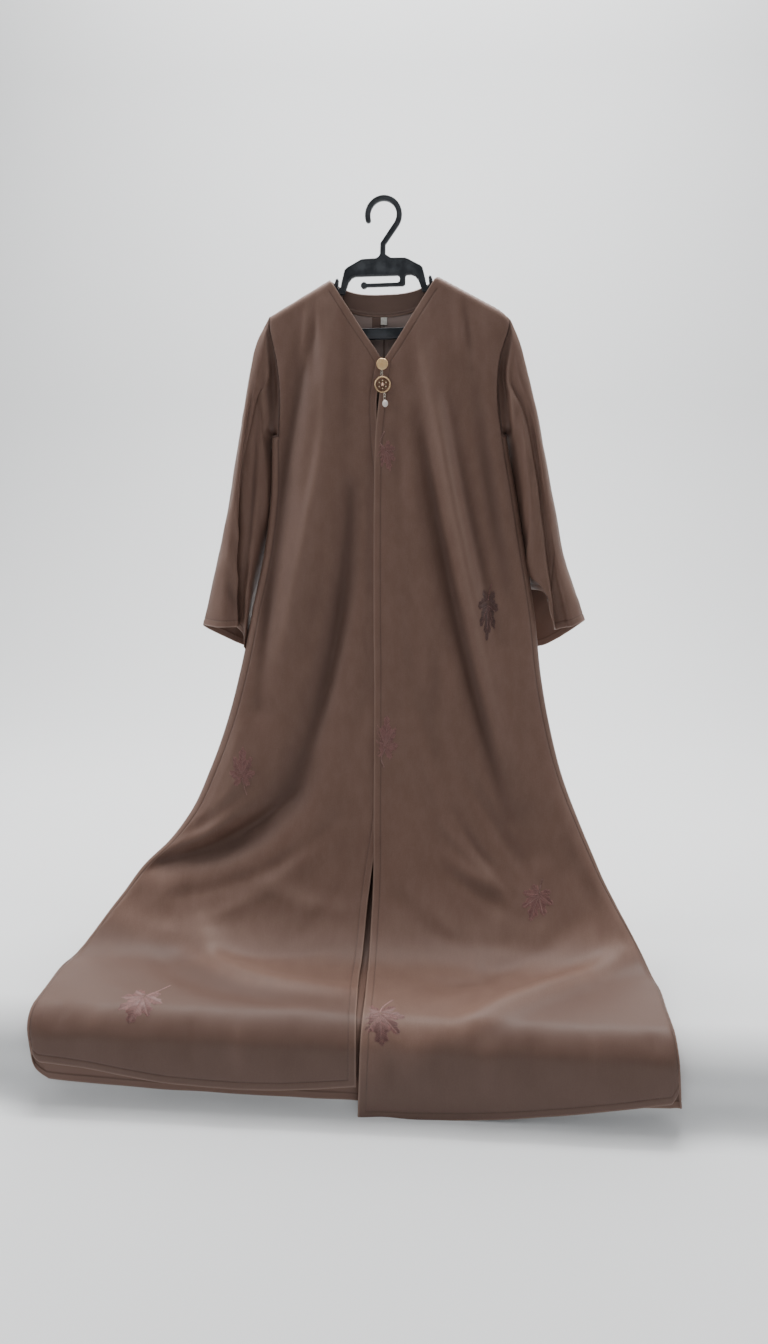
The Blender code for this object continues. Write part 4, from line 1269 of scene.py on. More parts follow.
@dataclass(frozen=True)
class ClothFinish:
    """Soft crepe-backed satin with a fine twill, darker in its seams and paler on its edges, with
    painted shade in the troughs of its folds and painted highlight on their ridges.
    """

    name: str = "kaftan_cloth_dressed"
    colour: Triple = (0.165, 0.094, 0.071)
    # Pale tone of the cloth for its uneven patches and its edges, also the colour of the painted
    # highlight on ridges and of the painted light on the lying cloth.
    pale_and_highlight: Triple = (0.262, 0.170, 0.132)
    shade: Triple = (0.078, 0.044, 0.034)
    inside: Triple = (0.130, 0.080, 0.064)
    roughness: float = 0.52
    twill: float = 0.00085
    # Shares of painted highlight on the ridges and of painted shade in the troughs.
    ridge: float = 0.22
    trough_shade: float = 0.55
    hem_width: float = HEM_LINE

    def build(self) -> Material:
        """Make the material.

        Returns:
            The material.
        """
        paint = Paint(self.name)
        place = paint.attribute("place", "Vector")
        edge, seam = paint.attribute("edge"), paint.attribute("seam")
        # Fold tone: it drives the painted highlight and the painted shade below.
        fold = paint.attribute("fold")
        u, v, layer = paint.parts(place)
        flow = paint.noise(place, 9.0, 3.0)
        mottle = paint.noise(place, (60.0, 26.0, 1.0), 4.0, 0.62)
        slub = paint.noise(place, (900.0, 60.0, 1.0), 2.0, 0.6)
        grain = paint.noise(place, (2100.0, 2100.0, 1.0), 2.0, 0.7)
        speck = paint.noise(place, (460.0, 460.0, 1.0), 2.0, 0.6)
        twill = ((u + v * 0.8) * (FULL_TURN / self.twill)).sine() * 0.5 + 0.5
        ends = (u * (FULL_TURN / (self.twill * 0.55))).sine() * 0.5 + 0.5

        pale_and_highlight = paint.fit(edge, 0.0030, 0.0, 0.0, 0.55)
        sewn = paint.fit((edge - self.hem_width).size(), 0.0016, 0.0, 0.0, 0.50)
        sunk = paint.fit(seam, 0.0026, 0.0, 0.0, 0.75).most(sewn)
        tone = paint.mix(paint.fit(flow, 0.35, 0.68), self.shade, self.colour)
        tone = paint.mix(0.10, self.colour, tone)
        uneven = mottle * 0.45 + slub * 0.20 + speck * 0.35
        tone = paint.mix(paint.fit(uneven, 0.40, 0.62, 0.0, 0.20), tone, self.pale_and_highlight)
        # Painted highlight on the ridges of the folds and painted shade in their troughs; the fold
        # tone also carries the painted light of the lying cloth and the painted shade of the
        # turned-down front.
        tone = paint.mix(paint.fit(fold, 0.0, 1.0, 0.0, self.ridge), tone, self.pale_and_highlight)
        tone = paint.mix(paint.fit(fold, 0.0, -1.0, 0.0, self.trough_shade), tone, self.shade)
        # The inner face takes the inside colour near the top and the outer colour lower down; on
        # the back that inside colour is pale, painted light shining through the cloth.
        inner_tone_and_light = paint.mix(paint.fit(v, 0.30, 0.55), self.inside, self.colour)
        tone = paint.mix(layer, tone, inner_tone_and_light)
        tone = paint.mix(sunk, tone, self.shade)
        tone = paint.mix(pale_and_highlight, tone, self.pale_and_highlight)
        height = twill * 0.42 + ends * 0.18 + grain * 0.50 + slub * 0.35
        return paint.dress(
            Base_Color=tone,
            Roughness=paint.fit(mottle * 0.5 + grain * 0.5, 0.3, 0.7, self.roughness - 0.05,
                                self.roughness + 0.07),
            Sheen_Weight=0.05, Sheen_Roughness=0.42, Sheen_Tint=(1.0, 0.90, 0.82),
            Specular_IOR_Level=0.30,
            Normal=paint.bump(height, 0.00009, 0.55))


@dataclass(frozen=True)
class ThreadFinish:
    """Glossy embroidery or sewing thread, twisted along its length, with a painted sheen along
    each thread's crest.
    """

    name: str
    colour: Triple
    # Colour of the painted sheen along each thread's crest.
    pale: Triple
    deep: Triple
    roughness: float = 0.40
    sheen: float = 0.25

    def build(self) -> Material:
        """Make the material.

        Returns:
            The material.
        """
        paint = Paint(self.name)
        tone = paint.attribute("tone")
        place = paint.attribute("place", "Vector")
        along, aside, row = paint.parts(place)
        twist = (along * 34.0 + aside * 2.2 + row).sine() * 0.5 + 0.5
        fuzz = paint.noise(place, (18.0, 3.0, 2.7), 3.0, 0.6)
        colour = paint.mix(paint.fit(tone * 0.7 + fuzz * 0.3, 0.2, 0.8), self.deep, self.colour)
        # Painted sheen: paler along each thread's crest, in stripes of its twist.
        colour = paint.mix(paint.fit(twist * (1.0 - aside.size()), 0.45, 1.0, 0.0, 0.45), colour,
                           self.pale)
        return paint.dress(
            Base_Color=colour,
            Roughness=paint.fit(fuzz, 0.3, 0.7, self.roughness - 0.06, self.roughness + 0.10),
            Sheen_Weight=self.sheen, Sheen_Roughness=0.4,
            Normal=paint.bump(twist * 0.6 + fuzz * 0.4, 0.00005, 0.6))


@dataclass(frozen=True)
class MetalFinish:
    """Plated metal, softly brushed, darker in its hollows and scuffed on its high places."""

    name: str
    colour: Triple
    dark: Triple
    bright: Triple
    roughness: float = 0.32

    def build(self) -> Material:
        """Make the material.

        Returns:
            The material.
        """
        paint = Paint(self.name)
        where = paint.where()
        cloud = paint.noise(where, 260.0, 4.0, 0.6)
        brush = paint.noise(where, (500.0, 500.0, 4200.0), 3.0, 0.65)
        bend = paint.bend()
        raised, sunk = paint.fit(bend, 0.50, 0.56), paint.fit(bend, 0.50, 0.44)
        tone = paint.mix(paint.fit(cloud, 0.3, 0.7, 0.0, 0.5), self.colour, self.bright)
        tone = paint.mix(sunk * 0.8, tone, self.dark)
        tone = paint.mix(raised * 0.5, tone, self.bright)
        return paint.dress(
            Base_Color=tone, Metallic=1.0,
            Roughness=paint.fit(cloud * 0.5 + brush * 0.5, 0.3, 0.7, self.roughness - 0.08,
                                self.roughness + 0.12),
            Normal=paint.bump(brush * 0.6 + cloud * 0.4, 0.00004, 0.5))


@dataclass(frozen=True)
class PearlFinish:
    """Pearl: creamy layers under a clear gloss, a little uneven."""

    name: str = "pearl_dressed"
    colour: Triple = (0.78, 0.74, 0.68)
    blush: Triple = (0.72, 0.60, 0.56)
    cool: Triple = (0.60, 0.62, 0.62)

    def build(self) -> Material:
        """Make the material.

        Returns:
            The material.
        """
        paint = Paint(self.name)
        where = paint.where()
        bands = paint.noise(where, (160.0, 160.0, 420.0), 3.0, 0.5)
        cloud = paint.noise(where, 380.0, 3.0)
        tone = paint.mix(paint.fit(bands, 0.35, 0.65, 0.0, 0.5), self.colour, self.blush)
        tone = paint.mix(paint.fit(cloud, 0.45, 0.75, 0.0, 0.45), tone, self.cool)
        return paint.dress(
            Base_Color=tone, Roughness=paint.fit(cloud, 0.3, 0.7, 0.20, 0.34),
            Coat_Weight=0.6, Coat_Roughness=0.08, Subsurface_Weight=0.15,
            Subsurface_Radius=(0.004, 0.003, 0.002), Subsurface_Scale=0.5,
            Normal=paint.bump(bands * 0.5 + cloud * 0.5, 0.0001, 0.4))


@dataclass(frozen=True)
class PlasticFinish:
    """Moulded dark plastic with a fine spark-eroded grain, scuffed and dusty on its edges."""

    name: str = "hanger_plastic_dressed"
    colour: Triple = (0.026, 0.030, 0.037)
    scuffed: Triple = (0.060, 0.066, 0.074)
    deep: Triple = (0.014, 0.017, 0.022)
    roughness: float = 0.42

    def build(self) -> Material:
        """Make the material.

        Returns:
            The material.
        """
        paint = Paint(self.name)
        where = paint.where()
        grain = paint.noise(where, 1700.0, 2.0, 0.6)
        cloud = paint.noise(where, 42.0, 4.0, 0.6)
        scratch = paint.noise(where, (30.0, 60.0, 900.0), 2.0, 0.5)
        bend = paint.bend()
        rubbed = paint.fit(bend, 0.51, 0.58) * paint.fit(cloud, 0.35, 0.65)
        tone = paint.mix(paint.fit(cloud, 0.3, 0.7), self.deep, self.colour)
        tone = paint.mix(rubbed.most(paint.fit(scratch, 0.66, 0.78, 0.0, 0.4)), tone, self.scuffed)
        return paint.dress(
            Base_Color=tone,
            Roughness=paint.fit(cloud * 0.6 + grain * 0.4, 0.3, 0.7, self.roughness - 0.07,
                                self.roughness + 0.12),
            Specular_IOR_Level=0.5, Normal=paint.bump(grain, 0.00008, 0.35))


@dataclass(frozen=True)
class TapeFinish:
    """Woven satin tape: crosswise ribs over a fine warp, slightly soiled in patches."""

    name: str = "label_tape_dressed"
    colour: Triple = (0.70, 0.675, 0.62)
    soiled: Triple = (0.50, 0.46, 0.40)

    def build(self) -> Material:
        """Make the material.

        Returns:
            The material.
        """
        paint = Paint(self.name)
        where = paint.where()
        x, _, z = paint.parts(where)
        ribs = (z * (FULL_TURN / 0.0005)).sine() * 0.5 + 0.5
        warp = (x * (FULL_TURN / 0.0003)).sine() * 0.5 + 0.5
        dirt = paint.noise(where, 420.0, 4.0, 0.65)
        tone = paint.mix(paint.fit(dirt, 0.42, 0.70, 0.0, 0.65), self.colour, self.soiled)
        tone = paint.mix(ribs * 0.12, tone, self.soiled)
        return paint.dress(
            Base_Color=tone, Roughness=paint.fit(dirt, 0.3, 0.7, 0.52, 0.72),
            Sheen_Weight=0.2, Normal=paint.bump(ribs * 0.7 + warp * 0.3, 0.00008, 0.6))


@dataclass(frozen=True)
class StudioFinish:
    """Pale matt paper."""

    name: str = "studio_paper"
    colour: Triple = (0.80, 0.81, 0.815)

    def build(self) -> Material:
        """Make the material.

        Returns:
            The material.
        """
        paint = Paint(self.name)
        where = paint.where()
        cloud = paint.noise(where, 1.4, 3.0)
        tone = paint.mix(paint.fit(cloud, 0.3, 0.7, 0.0, 0.12), self.colour,
                         tuple(part * 0.86 for part in self.colour))
        return paint.dress(Base_Color=tone, Roughness=0.82, Specular_IOR_Level=0.2)


@dataclass
class Wardrobe:
    """Every finish of the garment and its hanger, made once."""

    cloth: Material = field(default_factory=ClothFinish().build)
    # The back's inner face is painted pale near the neck: painted light shining through the cloth
    # from behind.
    back_cloth: Material = field(default_factory=ClothFinish(
        "kaftan_back_cloth_dressed", inside=(0.320, 0.238, 0.212)).build)
    facing: Material = field(default_factory=ClothFinish(
        "facing_cloth_dressed", (0.138, 0.084, 0.066), inside=(0.138, 0.084, 0.066),
        hem_width=0.0040).build)
    sewing: Material = field(default_factory=ThreadFinish(
        "sewing_thread", (0.120, 0.088, 0.074), (0.20, 0.155, 0.135),
        (0.080, 0.056, 0.046)).build)
    leaf: Material = field(default_factory=ThreadFinish(
        "leaf_thread", (0.320, 0.150, 0.135), (0.440, 0.245, 0.222), (0.170, 0.078, 0.070),
        0.46, 0.14).build)
    # Darker leaf thread: painted shade for the leaf that lies in a fold.
    leaf_in_fold_shade: Material = field(default_factory=ThreadFinish(
        "leaf_thread_fold_shade", (0.120, 0.062, 0.052), (0.220, 0.125, 0.108), (0.070, 0.034, 0.028),
        0.36, 0.20).build)
    # Leaf thread painted darker: painted shade for the leaves on the brightly lit lying cloth.
    leaf_painted_darker: Material = field(default_factory=ThreadFinish(
        "leaf_thread_painted_darker", (0.225, 0.104, 0.092), (0.310, 0.170, 0.152), (0.120, 0.056, 0.049),
        0.52, 0.06).build)
    stem: Material = field(default_factory=ThreadFinish(
        "stem_thread", (0.420, 0.250, 0.222), (0.540, 0.365, 0.330), (0.250, 0.135, 0.118),
        0.46, 0.14).build)
    gold: Material = field(default_factory=MetalFinish(
        "button_gold_dressed", (0.95, 0.60, 0.28), (0.50, 0.32, 0.15), (1.00, 0.78, 0.48),
        0.46).build)
    pale_gold: Material = field(default_factory=MetalFinish(
        "rim_gold_dressed", (0.95, 0.70, 0.42), (0.50, 0.31, 0.16), (1.00, 0.86, 0.62),
        0.36).build)
    pink_gold: Material = field(default_factory=MetalFinish(
        "flower_gold_dressed", (0.62, 0.36, 0.26), (0.20, 0.10, 0.06), (0.86, 0.62, 0.50),
        0.34).build)
    silver: Material = field(default_factory=MetalFinish(
        "link_silver_dressed", (0.60, 0.55, 0.46), (0.26, 0.22, 0.17), (0.84, 0.80, 0.72),
        0.30).build)
    pearl: Material = field(default_factory=PearlFinish().build)
    plastic: Material = field(default_factory=PlasticFinish().build)
    tape: Material = field(default_factory=TapeFinish().build)


# Garment

def declare_cloth(node: str | None) -> None:
    """Hide the part's node that a sheet of cloth stands in for.

    Args:
        node: the part's node that it replaces, if any.
    """
    if node:
        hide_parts(node)


def sew(name: str, lines: Sequence[StitchLine], wardrobe: Wardrobe) -> Piece:
    """Make one piece of every stitch of several lines.

    Args:
        name: the piece's name.
        lines: the rows of stitches.
        wardrobe: the finishes.

    Returns:
        The stitches.
    """
    made = [line.lines() for line in lines]
    points = np.concatenate([line for line, _ in made])
    normals = np.concatenate([normal for _, normal in made])
    piece = SEWING.build(name, points, normals, wardrobe.sewing, SEWING_SEED)
    return piece


def make_panel(name: str, node: str, sheet: Sheet, finish: Material,
               lines: Sequence[StitchLine], wardrobe: Wardrobe) -> list[Piece]:
    """Make one sheet of the garment with its stitches.

    Args:
        name: start of the pieces' names.
        node: the part's node that the sheet replaces.
        sheet: the cloth.
        finish: its material.
        lines: its rows of stitches.
        wardrobe: the finishes.

    Returns:
        The cloth and the stitches.
    """
    piece = sheet.build(f"{name}_cloth", finish)
    thread = sew(f"{name}_stitches", lines, wardrobe)
    declare_cloth(node)
    return [piece, thread]


@dataclass
class Rows:
    """How the rows of a panel are spaced down the path."""

    top_drops: tuple[float, ...] = (0.0, 0.0006, 0.002, 0.006, 0.012, 0.0165, 0.0185,
                                    NECK_LINE, 0.0201, 0.0215, 0.0245, 0.030, 0.038)
    foot_drops: tuple[float, ...] = (0.020, 0.0165, 0.0135, 0.0120, 0.0112, HEM_LINE, 0.0098,
                                     0.0085, 0.0060, 0.0030, 0.0008, 0.0)
    pitch: float = 0.0052
    lower_rows: int = 14

    def lengths(self, starts: Array, ends: Array) -> tuple[Array, int]:
        """Lengths of every row in every column.

        Args:
            starts: where each column starts.
            ends: where each column ends.

        Returns:
            The lengths, and the number of the row at the underarm.
        """
        underarm = float(FORM.path.length_at(FORM.underarm_z))
        top = starts[None, :] + np.array(self.top_drops)[:, None]
        count = round((underarm - float(starts.min()) - self.top_drops[-1]) / self.pitch)
        shares = (np.arange(count) + 1.0)[:, None] / count
        upper = top[-1][None, :] + shares * (underarm - top[-1])[None, :]
        last = FORM.path.drop_start + 0.002
        middle = np.linspace(underarm, last, round((last - underarm) / self.pitch) + 1)[1:]
        middle = np.repeat(middle[:, None], len(starts), axis=1)
        foot = ends[None, :] - np.array(self.foot_drops)[:, None]
        shares = np.arange(1, self.lower_rows)[:, None] / self.lower_rows
        lower = last + shares * (foot[0] - last)[None, :]
        return np.concatenate([top, upper, middle, lower, foot]), len(top) + count - 1

    @property
    def hem_row(self) -> int:
        """Row of the foot's stitch line, counted from the end."""
        return self.foot_drops.index(HEM_LINE) - len(self.foot_drops)

    @property
    def neck_row(self) -> int:
        """Row of the neck slope's stitch line."""
        return self.top_drops.index(NECK_LINE)


class Join(NamedTuple):
    """The edge that two panels share."""

    lengths: Array
    points: Array


@dataclass
class FrontPanel:
    """One front: free edge and neck slope, shoulder, armhole, side seam and foot."""

    side: Side
    rows: Rows = field(default_factory=Rows)
    band: tuple[float, ...] = (0.0, 0.0005, 0.0018, 0.0045, 0.0075, 0.0092, 0.0100, HEM_LINE,
                               0.0110, 0.0118, 0.0140, 0.0180, 0.0230)
    neck_columns: int = 14
    columns: int = 74
    cut: Pair = (0.51, 1.43)
    cut_area: float = 0.45
    feel: float = 0.0008
    sheet: Sheet = field(init=False)
    underarm: int = field(init=False)
    join: Join = field(init=False)

    def __post_init__(self) -> None:
        """Lay out the panel's grid."""
        side, seam = self.side, 1.0 + self.side.seam_turn
        turn = self.turns(np.full(1, 0.10))[0]
        starts = np.full(len(turn), 0.05)
        neck = len(self.band) + self.neck_columns
        for _ in range(14):
            here = self.turns(starts)[np.arange(len(turn)), np.arange(len(turn))]
            reach = FORM.across(side, here, starts)
            edge = side.sign * FORM.front_edge(side, starts)
            slope = FORM.v_line(side, reach, edge)
            height = np.where(np.arange(len(turn)) < neck, slope, FORM.shoulder(side, reach))
            starts = FORM.path.length_at(height)
        foot = self.turns(np.full(1, 1.30))[0]
        ends = FORM.path.length_at(through(HEMS, "share", side.front_hem, foot / seam) * MM)
        lengths, self.underarm = self.rows.lengths(starts, ends)
        turns = self.turn_grid(lengths)
        points = FORM.point(side, turns, lengths)
        reach = FORM.across(side, turns, lengths)
        free = np.abs(reach - side.sign * FORM.front_edge(side, lengths))
        slope_gap = (lengths - starts[None, :]) * SLOPE_SHARE
        past_neck = np.clip((reach - FORM.neck_half) / OUTSIDE, 0.0, None)
        edge = np.minimum(np.minimum(free, ends[None, :] - lengths), slope_gap + past_neck)
        in_neck = np.clip(FORM.neck_half - reach, 0.0, None)
        shoulder = (lengths - starts[None, :]) + in_neck * NECK_STEEPNESS
        to_seam = walked(points[:, ::-1], 1)[:, ::-1]
        gap = np.minimum(shoulder, to_seam)
        place = np.stack([side.sign * reach, lengths, np.zeros_like(reach)], axis=-1)
        # Fold tone for the cloth's painted shade and painted highlight.
        fold = FORM.painted_light_share(side.sign * reach, lengths, True)
        self.sheet = Sheet(points, edge, gap, place, flip=not side.laps, fold=fold)
        self.join = Join(lengths[:, -1], points[:, -1])

    def turns(self, lengths: Array) -> Array:
        """Turns of every column at each of several lengths.

        Args:
            lengths: lengths down the path.

        Returns:
            The turns, one row for each length.
        """
        side, seam = self.side, 1.0 + self.side.seam_turn
        flat = FORM.sizes(side, lengths)[0]
        edge = side.sign * FORM.front_edge(side, lengths)
        wide = (flat - edge)[:, None]
        neck_turn = (FORM.neck_half - edge)[:, None] / wide
        near = np.array(self.band)[None, :] / wide
        slope = (np.arange(self.neck_columns) + 1.0)[None, :] / (self.neck_columns + 1)
        neck = near[:, -1:] + slope * (neck_turn - near[:, -1:])
        shares = np.arange(self.columns + 1)[None, :] / self.columns
        rest = neck_turn + shares * (seam - neck_turn)
        return np.concatenate([near, neck, rest], axis=1)

    def turn_grid(self, lengths: Array) -> Array:
        """Turn of each point of a grid of lengths."""
        return np.stack([self.turns(column)[:, number] for number, column in enumerate(lengths.T)],
                        axis=1)

    def place_on(self, x: Array, length: Array) -> tuple[Array, Array]:
        """Points of the panel and its normals at places given by X and a length down the path.

        Args:
            x: places along X, in metres.
            length: lengths down the path, in metres.

        Returns:
            The points and the normals.
        """
        step = self.feel
        right = self.spot(x + step, length) - self.spot(x - step, length)
        down = self.spot(x, length + step) - self.spot(x, length - step)
        return self.spot(x, length), unit(np.cross(down, right))

    def spot(self, x: Array, length: Array) -> Array:
        """Points of the panel at places given by X and a length down the path.

        Args:
            x: places along X, in metres.
            length: lengths down the path, in metres.

        Returns:
            The points.
        """
        edge = self.side.sign * FORM.front_edge(self.side, length)
        flat = FORM.sizes(self.side, length)[0]
        return FORM.point(self.side, (self.side.sign * x - edge) / (flat - edge), length)

    def stitch_lines(self) -> list[StitchLine]:
        """Stitches along the free edge, the neck slope and the foot.

        Returns:
            The three rows of stitches.
        """
        sheet, column = self.sheet, self.band.index(HEM_LINE)
        first, last = self.rows.neck_row, len(sheet.outer) + self.rows.hem_row
        neck = len(self.band) + self.neck_columns + 1
        parts = (slice(first, last + 1), column), (first, slice(column, neck)), (
            last, slice(column, None))
        return [StitchLine(sheet.outer[part], sheet.normal[part]) for part in parts]

    def build(self, wardrobe: Wardrobe) -> list[Piece]:
        """Make the panel and its stitches.

        Args:
            wardrobe: the finishes.

        Returns:
            The cloth and the stitches.
        """
        name = f"front_{self.side.name.value}"
        return make_panel(name, f"{name}_panel", self.sheet, wardrobe.cloth, self.stitch_lines(),
                          wardrobe)


@dataclass
class BackPanel:
    """One half of the back: side seam, underarm, armhole, shoulder, neck, centre seam and foot."""

    side: Side
    front: FrontPanel
    side_columns: int = 7
    columns: int = 62
    neck_columns: int = 18
    cut: Pair = (0.53, 1.45)
    cut_area: float = 0.48
    neck_hem: float = 0.0065
    rows: Rows = field(default_factory=Rows)
    sheet: Sheet = field(init=False)
    armhole: Array = field(init=False)
    under: Array = field(init=False)

    def __post_init__(self) -> None:
        """Lay out the panel's grid."""
        side = self.side
        seam, armhole = 1.0 + side.seam_turn, 2.0 - side.seam_turn
        flat = float(FORM.sizes(side, 0.010)[0])
        neck_turn = 3.0 - FORM.neck_half / flat
        side_part = np.linspace(seam, armhole, self.side_columns + 1)[:-1]
        turns = np.concatenate([side_part, np.linspace(armhole, neck_turn, self.columns),
                                np.linspace(neck_turn, 3.0, self.neck_columns + 1)[1:]])
        starts = self.top(turns, FORM.shoulder)
        neck_starts = self.top(turns, FORM.back_neck)
        starts = np.where(turns > neck_turn + 1e-6, neck_starts, starts)
        starts[:self.side_columns] = starts[self.side_columns]
        share = (3.0 - turns) / (3.0 - seam)
        ends = FORM.path.length_at(through(HEMS, "share", side.back_hem, share) * MM)
        lengths, under = self.rows.lengths(starts, ends)
        lengths[:under + 1, self.side_columns] = self.front.join.lengths[:under + 1]
        lengths[under:, 0] = self.front.join.lengths[under:]
        grid = np.repeat(turns[None, :], len(lengths), axis=0)
        points = FORM.point(side, grid, lengths)
        keep = np.ones((len(lengths) - 1, len(turns) - 1), bool)
        keep[:under, :self.side_columns] = False
        self.armhole = points[:under + 1, self.side_columns]
        self.under = points[under, 1:self.side_columns]
        reach = FORM.across(side, grid, lengths)
        down = lengths - starts[None, :]
        past_neck = np.clip((reach - FORM.neck_half) / OUTSIDE, 0.0, None)
        edge = np.minimum(ends[None, :] - lengths, down + past_neck + self.neck_hem)
        walk = walked(points, 1)
        to_arm = walk[:, self.side_columns:self.side_columns + 1]
        above = np.arange(len(lengths))[:, None] <= under
        from_side = np.where(above, np.abs(walk - to_arm), walk)
        below_arm = np.where(walk <= to_arm, np.abs(lengths - lengths[under, 0]), 1.0)
        shoulder = down + np.clip(FORM.neck_half - reach, 0.0, None) * NECK_STEEPNESS
        gap = np.minimum(np.minimum(shoulder, from_side), walk[:, -1:] - walk)
        gap = np.where(above, gap, np.minimum(gap, below_arm))
        place = np.stack([side.sign * reach, lengths, np.zeros_like(reach)], axis=-1)
        # Fold tone for the cloth's painted shade and painted highlight.
        fold = FORM.painted_light_share(side.sign * reach, lengths, False)
        self.sheet = Sheet(points, edge, gap, place, keep=keep, flip=not side.laps, fold=fold)

    def top(self, turns: Array, height: Callable[[Side, Array], Array]) -> Array:
        """Length down the path at which each column meets an edge of that height.

        Args:
            turns: turns round the section, one for each column.
            height: the edge's height at a side and a distance.

        Returns:
            The lengths.
        """
        lengths = np.full(len(turns), 0.010)
        for _ in range(12):
            reach = FORM.across(self.side, turns, lengths)
            lengths = FORM.path.length_at(height(self.side, reach))
        return lengths

    def build(self, wardrobe: Wardrobe) -> list[Piece]:
        """Make the panel and its stitches.

        Args:
            wardrobe: the finishes.

        Returns:
            The cloth and the stitches.
        """
        name = f"back_{self.side.name.value}"
        row = len(self.sheet.outer) + self.rows.hem_row
        foot = StitchLine(self.sheet.outer[row], self.sheet.normal[row])
        return make_panel(name, f"{name}_panel", self.sheet, wardrobe.back_cloth, [foot],
                          wardrobe)


@dataclass
class Sleeve:
    """One sleeve: a straight tube from the armhole to its hemmed cuff, folded along its front."""

    side: Side
    front: FrontPanel
    back: BackPanel
    knots: tuple[float, ...] = (0.0, 0.15, 0.31, 0.335, 0.36, 0.40, 0.475, 0.52, 0.76)
    rings: int = 92
    gap: float = 0.0002
    allowance: float = 0.0045
    top_drops: tuple[float, ...] = (0.0, 0.0006, 0.0018, 0.005)
    cuff: tuple[float, ...] = (0.16, 0.13, 0.105, 0.092, 0.084, 0.079, 0.074, 0.062, 0.040, 0.018,
                               0.005, 0.0)
    cuff_line: float = 0.079
    back_ease: float = 0.8
    cut: Pair = (0.45, 0.56)
    cut_area: float = 0.13
    sheet: Sheet = field(init=False)
    cuff_row: int = field(init=False)

    def __post_init__(self) -> None:
        """Lay out the sleeve's rings."""
        half = self.front.underarm + 1
        front = self.front.join.points[:half]
        first = np.concatenate([front, self.back.under, self.back.armhole[::-1]])
        first = first + np.array([self.side.sign * self.gap, 0.0, 0.0])
        drop = self.front.join.lengths[:half] - self.front.join.lengths[0]
        whole = drop[-1]
        drops = np.concatenate([self.top_drops, np.linspace(0.012, whole, 7)])
        on_front = np.interp(drop, drops, np.linspace(0.02, 0.50, 11))
        side_part = np.linspace(0.50, 0.54, len(self.back.under) + 2)[1:-1]
        at = np.concatenate([on_front, side_part, 1.04 - on_front[::-1]])
        stations = np.stack([first] + [self.ring(section, at) for section in self.side.sleeve])
        keys = np.arange(len(stations), dtype=float)
        inside = first + (first.mean(axis=0) - first) * np.array([0.0, 0.25, 0.0])
        inside[:, 0] -= self.side.sign * self.allowance
        places = np.concatenate([(0.0, 0.004, 0.012, 0.03), np.linspace(0.06, 5.82, self.rings),
                                 keys[-1] - np.array(self.cuff)])
        self.cuff_row = len(places) - len(self.cuff) + self.cuff.index(self.cuff_line) + 1
        points = blend_through(keys, stations, np.gradient(stations, keys, axis=0), places)
        points = np.concatenate([inside[None], points])
        walk = walked(points, 0)
        to_cuff = walk[-1:] - walk
        walk = np.abs(walk - walk[1:2])
        round_it = walked(points, 1)
        place = np.stack([round_it, walk, np.zeros_like(walk)], axis=-1)
        level = np.full(walk.shape, 1.0)
        plain = Sheet(points, level, level, place, ring=True, flip=self.side.laps)
        wave = self.creases(round_it, walk, to_cuff)
        points = points + plain.normal * wave[..., None]
        # Painted shade in the recess between the sleeve's lip and its inner edge and just below
        # the armhole, on top of the painted fold tone of its creases.
        recess_shade = (1.6 * bell(at - 0.505, 0.024) * smoothstep(walk / 0.07)
                  + 1.3 * bell(walk - 0.011, 0.007) * bell(at - 0.27, 0.11))
        self.sheet = Sheet(points, to_cuff, walk, place, ring=True, flip=self.side.laps,
                           fold=np.clip(wave / 0.0035 - recess_shade, -1.0, 1.0))

    def ring(self, section: SleeveSection, at: Array) -> Array:
        """Points round one section: down its front, past the fold and the lip, up its back.

        Args:
            section: the sleeve's section.
            at: shares of the way round it.

        Returns:
            The points.
        """
        width = section.outer_x - section.fold_x
        front, fold_x, fold_z = section.front_y, section.fold_x, section.fold_z
        deep = max(0.30 * width, 5.0)

        def between(share: float, x: float, z: float, y: float) -> Triple:
            """A place between the fold and another one."""
            return fold_x + share * (x - fold_x), y, fold_z + share * (z - fold_z)

        outer = section.outer_x, section.outer_z
        lip = section.lip_x, section.lip_z
        if self.side.laps:
            middle = [between(0.52, *outer, front + 2.5), between(0.16, *outer, front + deep),
                      (fold_x, front + deep + 0.5, fold_z), between(0.10, *lip, front + 1.0),
                      between(0.35, *lip, front - 1.5)]
        else:
            middle = [between(0.52, *outer, front), between(0.12, *outer, front - 0.6),
                      (fold_x, front + 2.0, fold_z),
                      (fold_x + 0.08 * width + 1.0, front + deep, fold_z - 2.0),
                      between(0.35, *lip, front + deep - 1.0)]
        corners = np.array([
            (section.outer_x, 0.30 * front, section.outer_z), *middle,
            (section.lip_x, front + 7.0, section.lip_z),
            (section.inner_x, section.inner_y, section.inner_z),
            (section.back_x, section.back_y, section.back_z),
        ]) * MM
        corners[:, 0] *= self.side.sign
        knots = np.array(self.knots)
        keys = np.concatenate([[knots[-1] - 1.0], knots, [1.0, 1.0 + knots[1]]])
        values = np.concatenate([corners[-1:], corners, corners[:2]])
        slopes = np.gradient(values, keys, axis=0)
        slopes[:, 1] *= self.back_ease
        return blend_through(keys, values, slopes, self.crowded(at))

    def crowded(self, at: Array) -> Array:
        """Places round the section, crowded together at the fold and the lip."""
        return np.interp(at, (0.0, 0.02, 0.25, 0.37, 0.44, 0.50, 1.0),
                         (0.0, 0.02, 0.300, 0.368, 0.455, 0.50, 1.0))

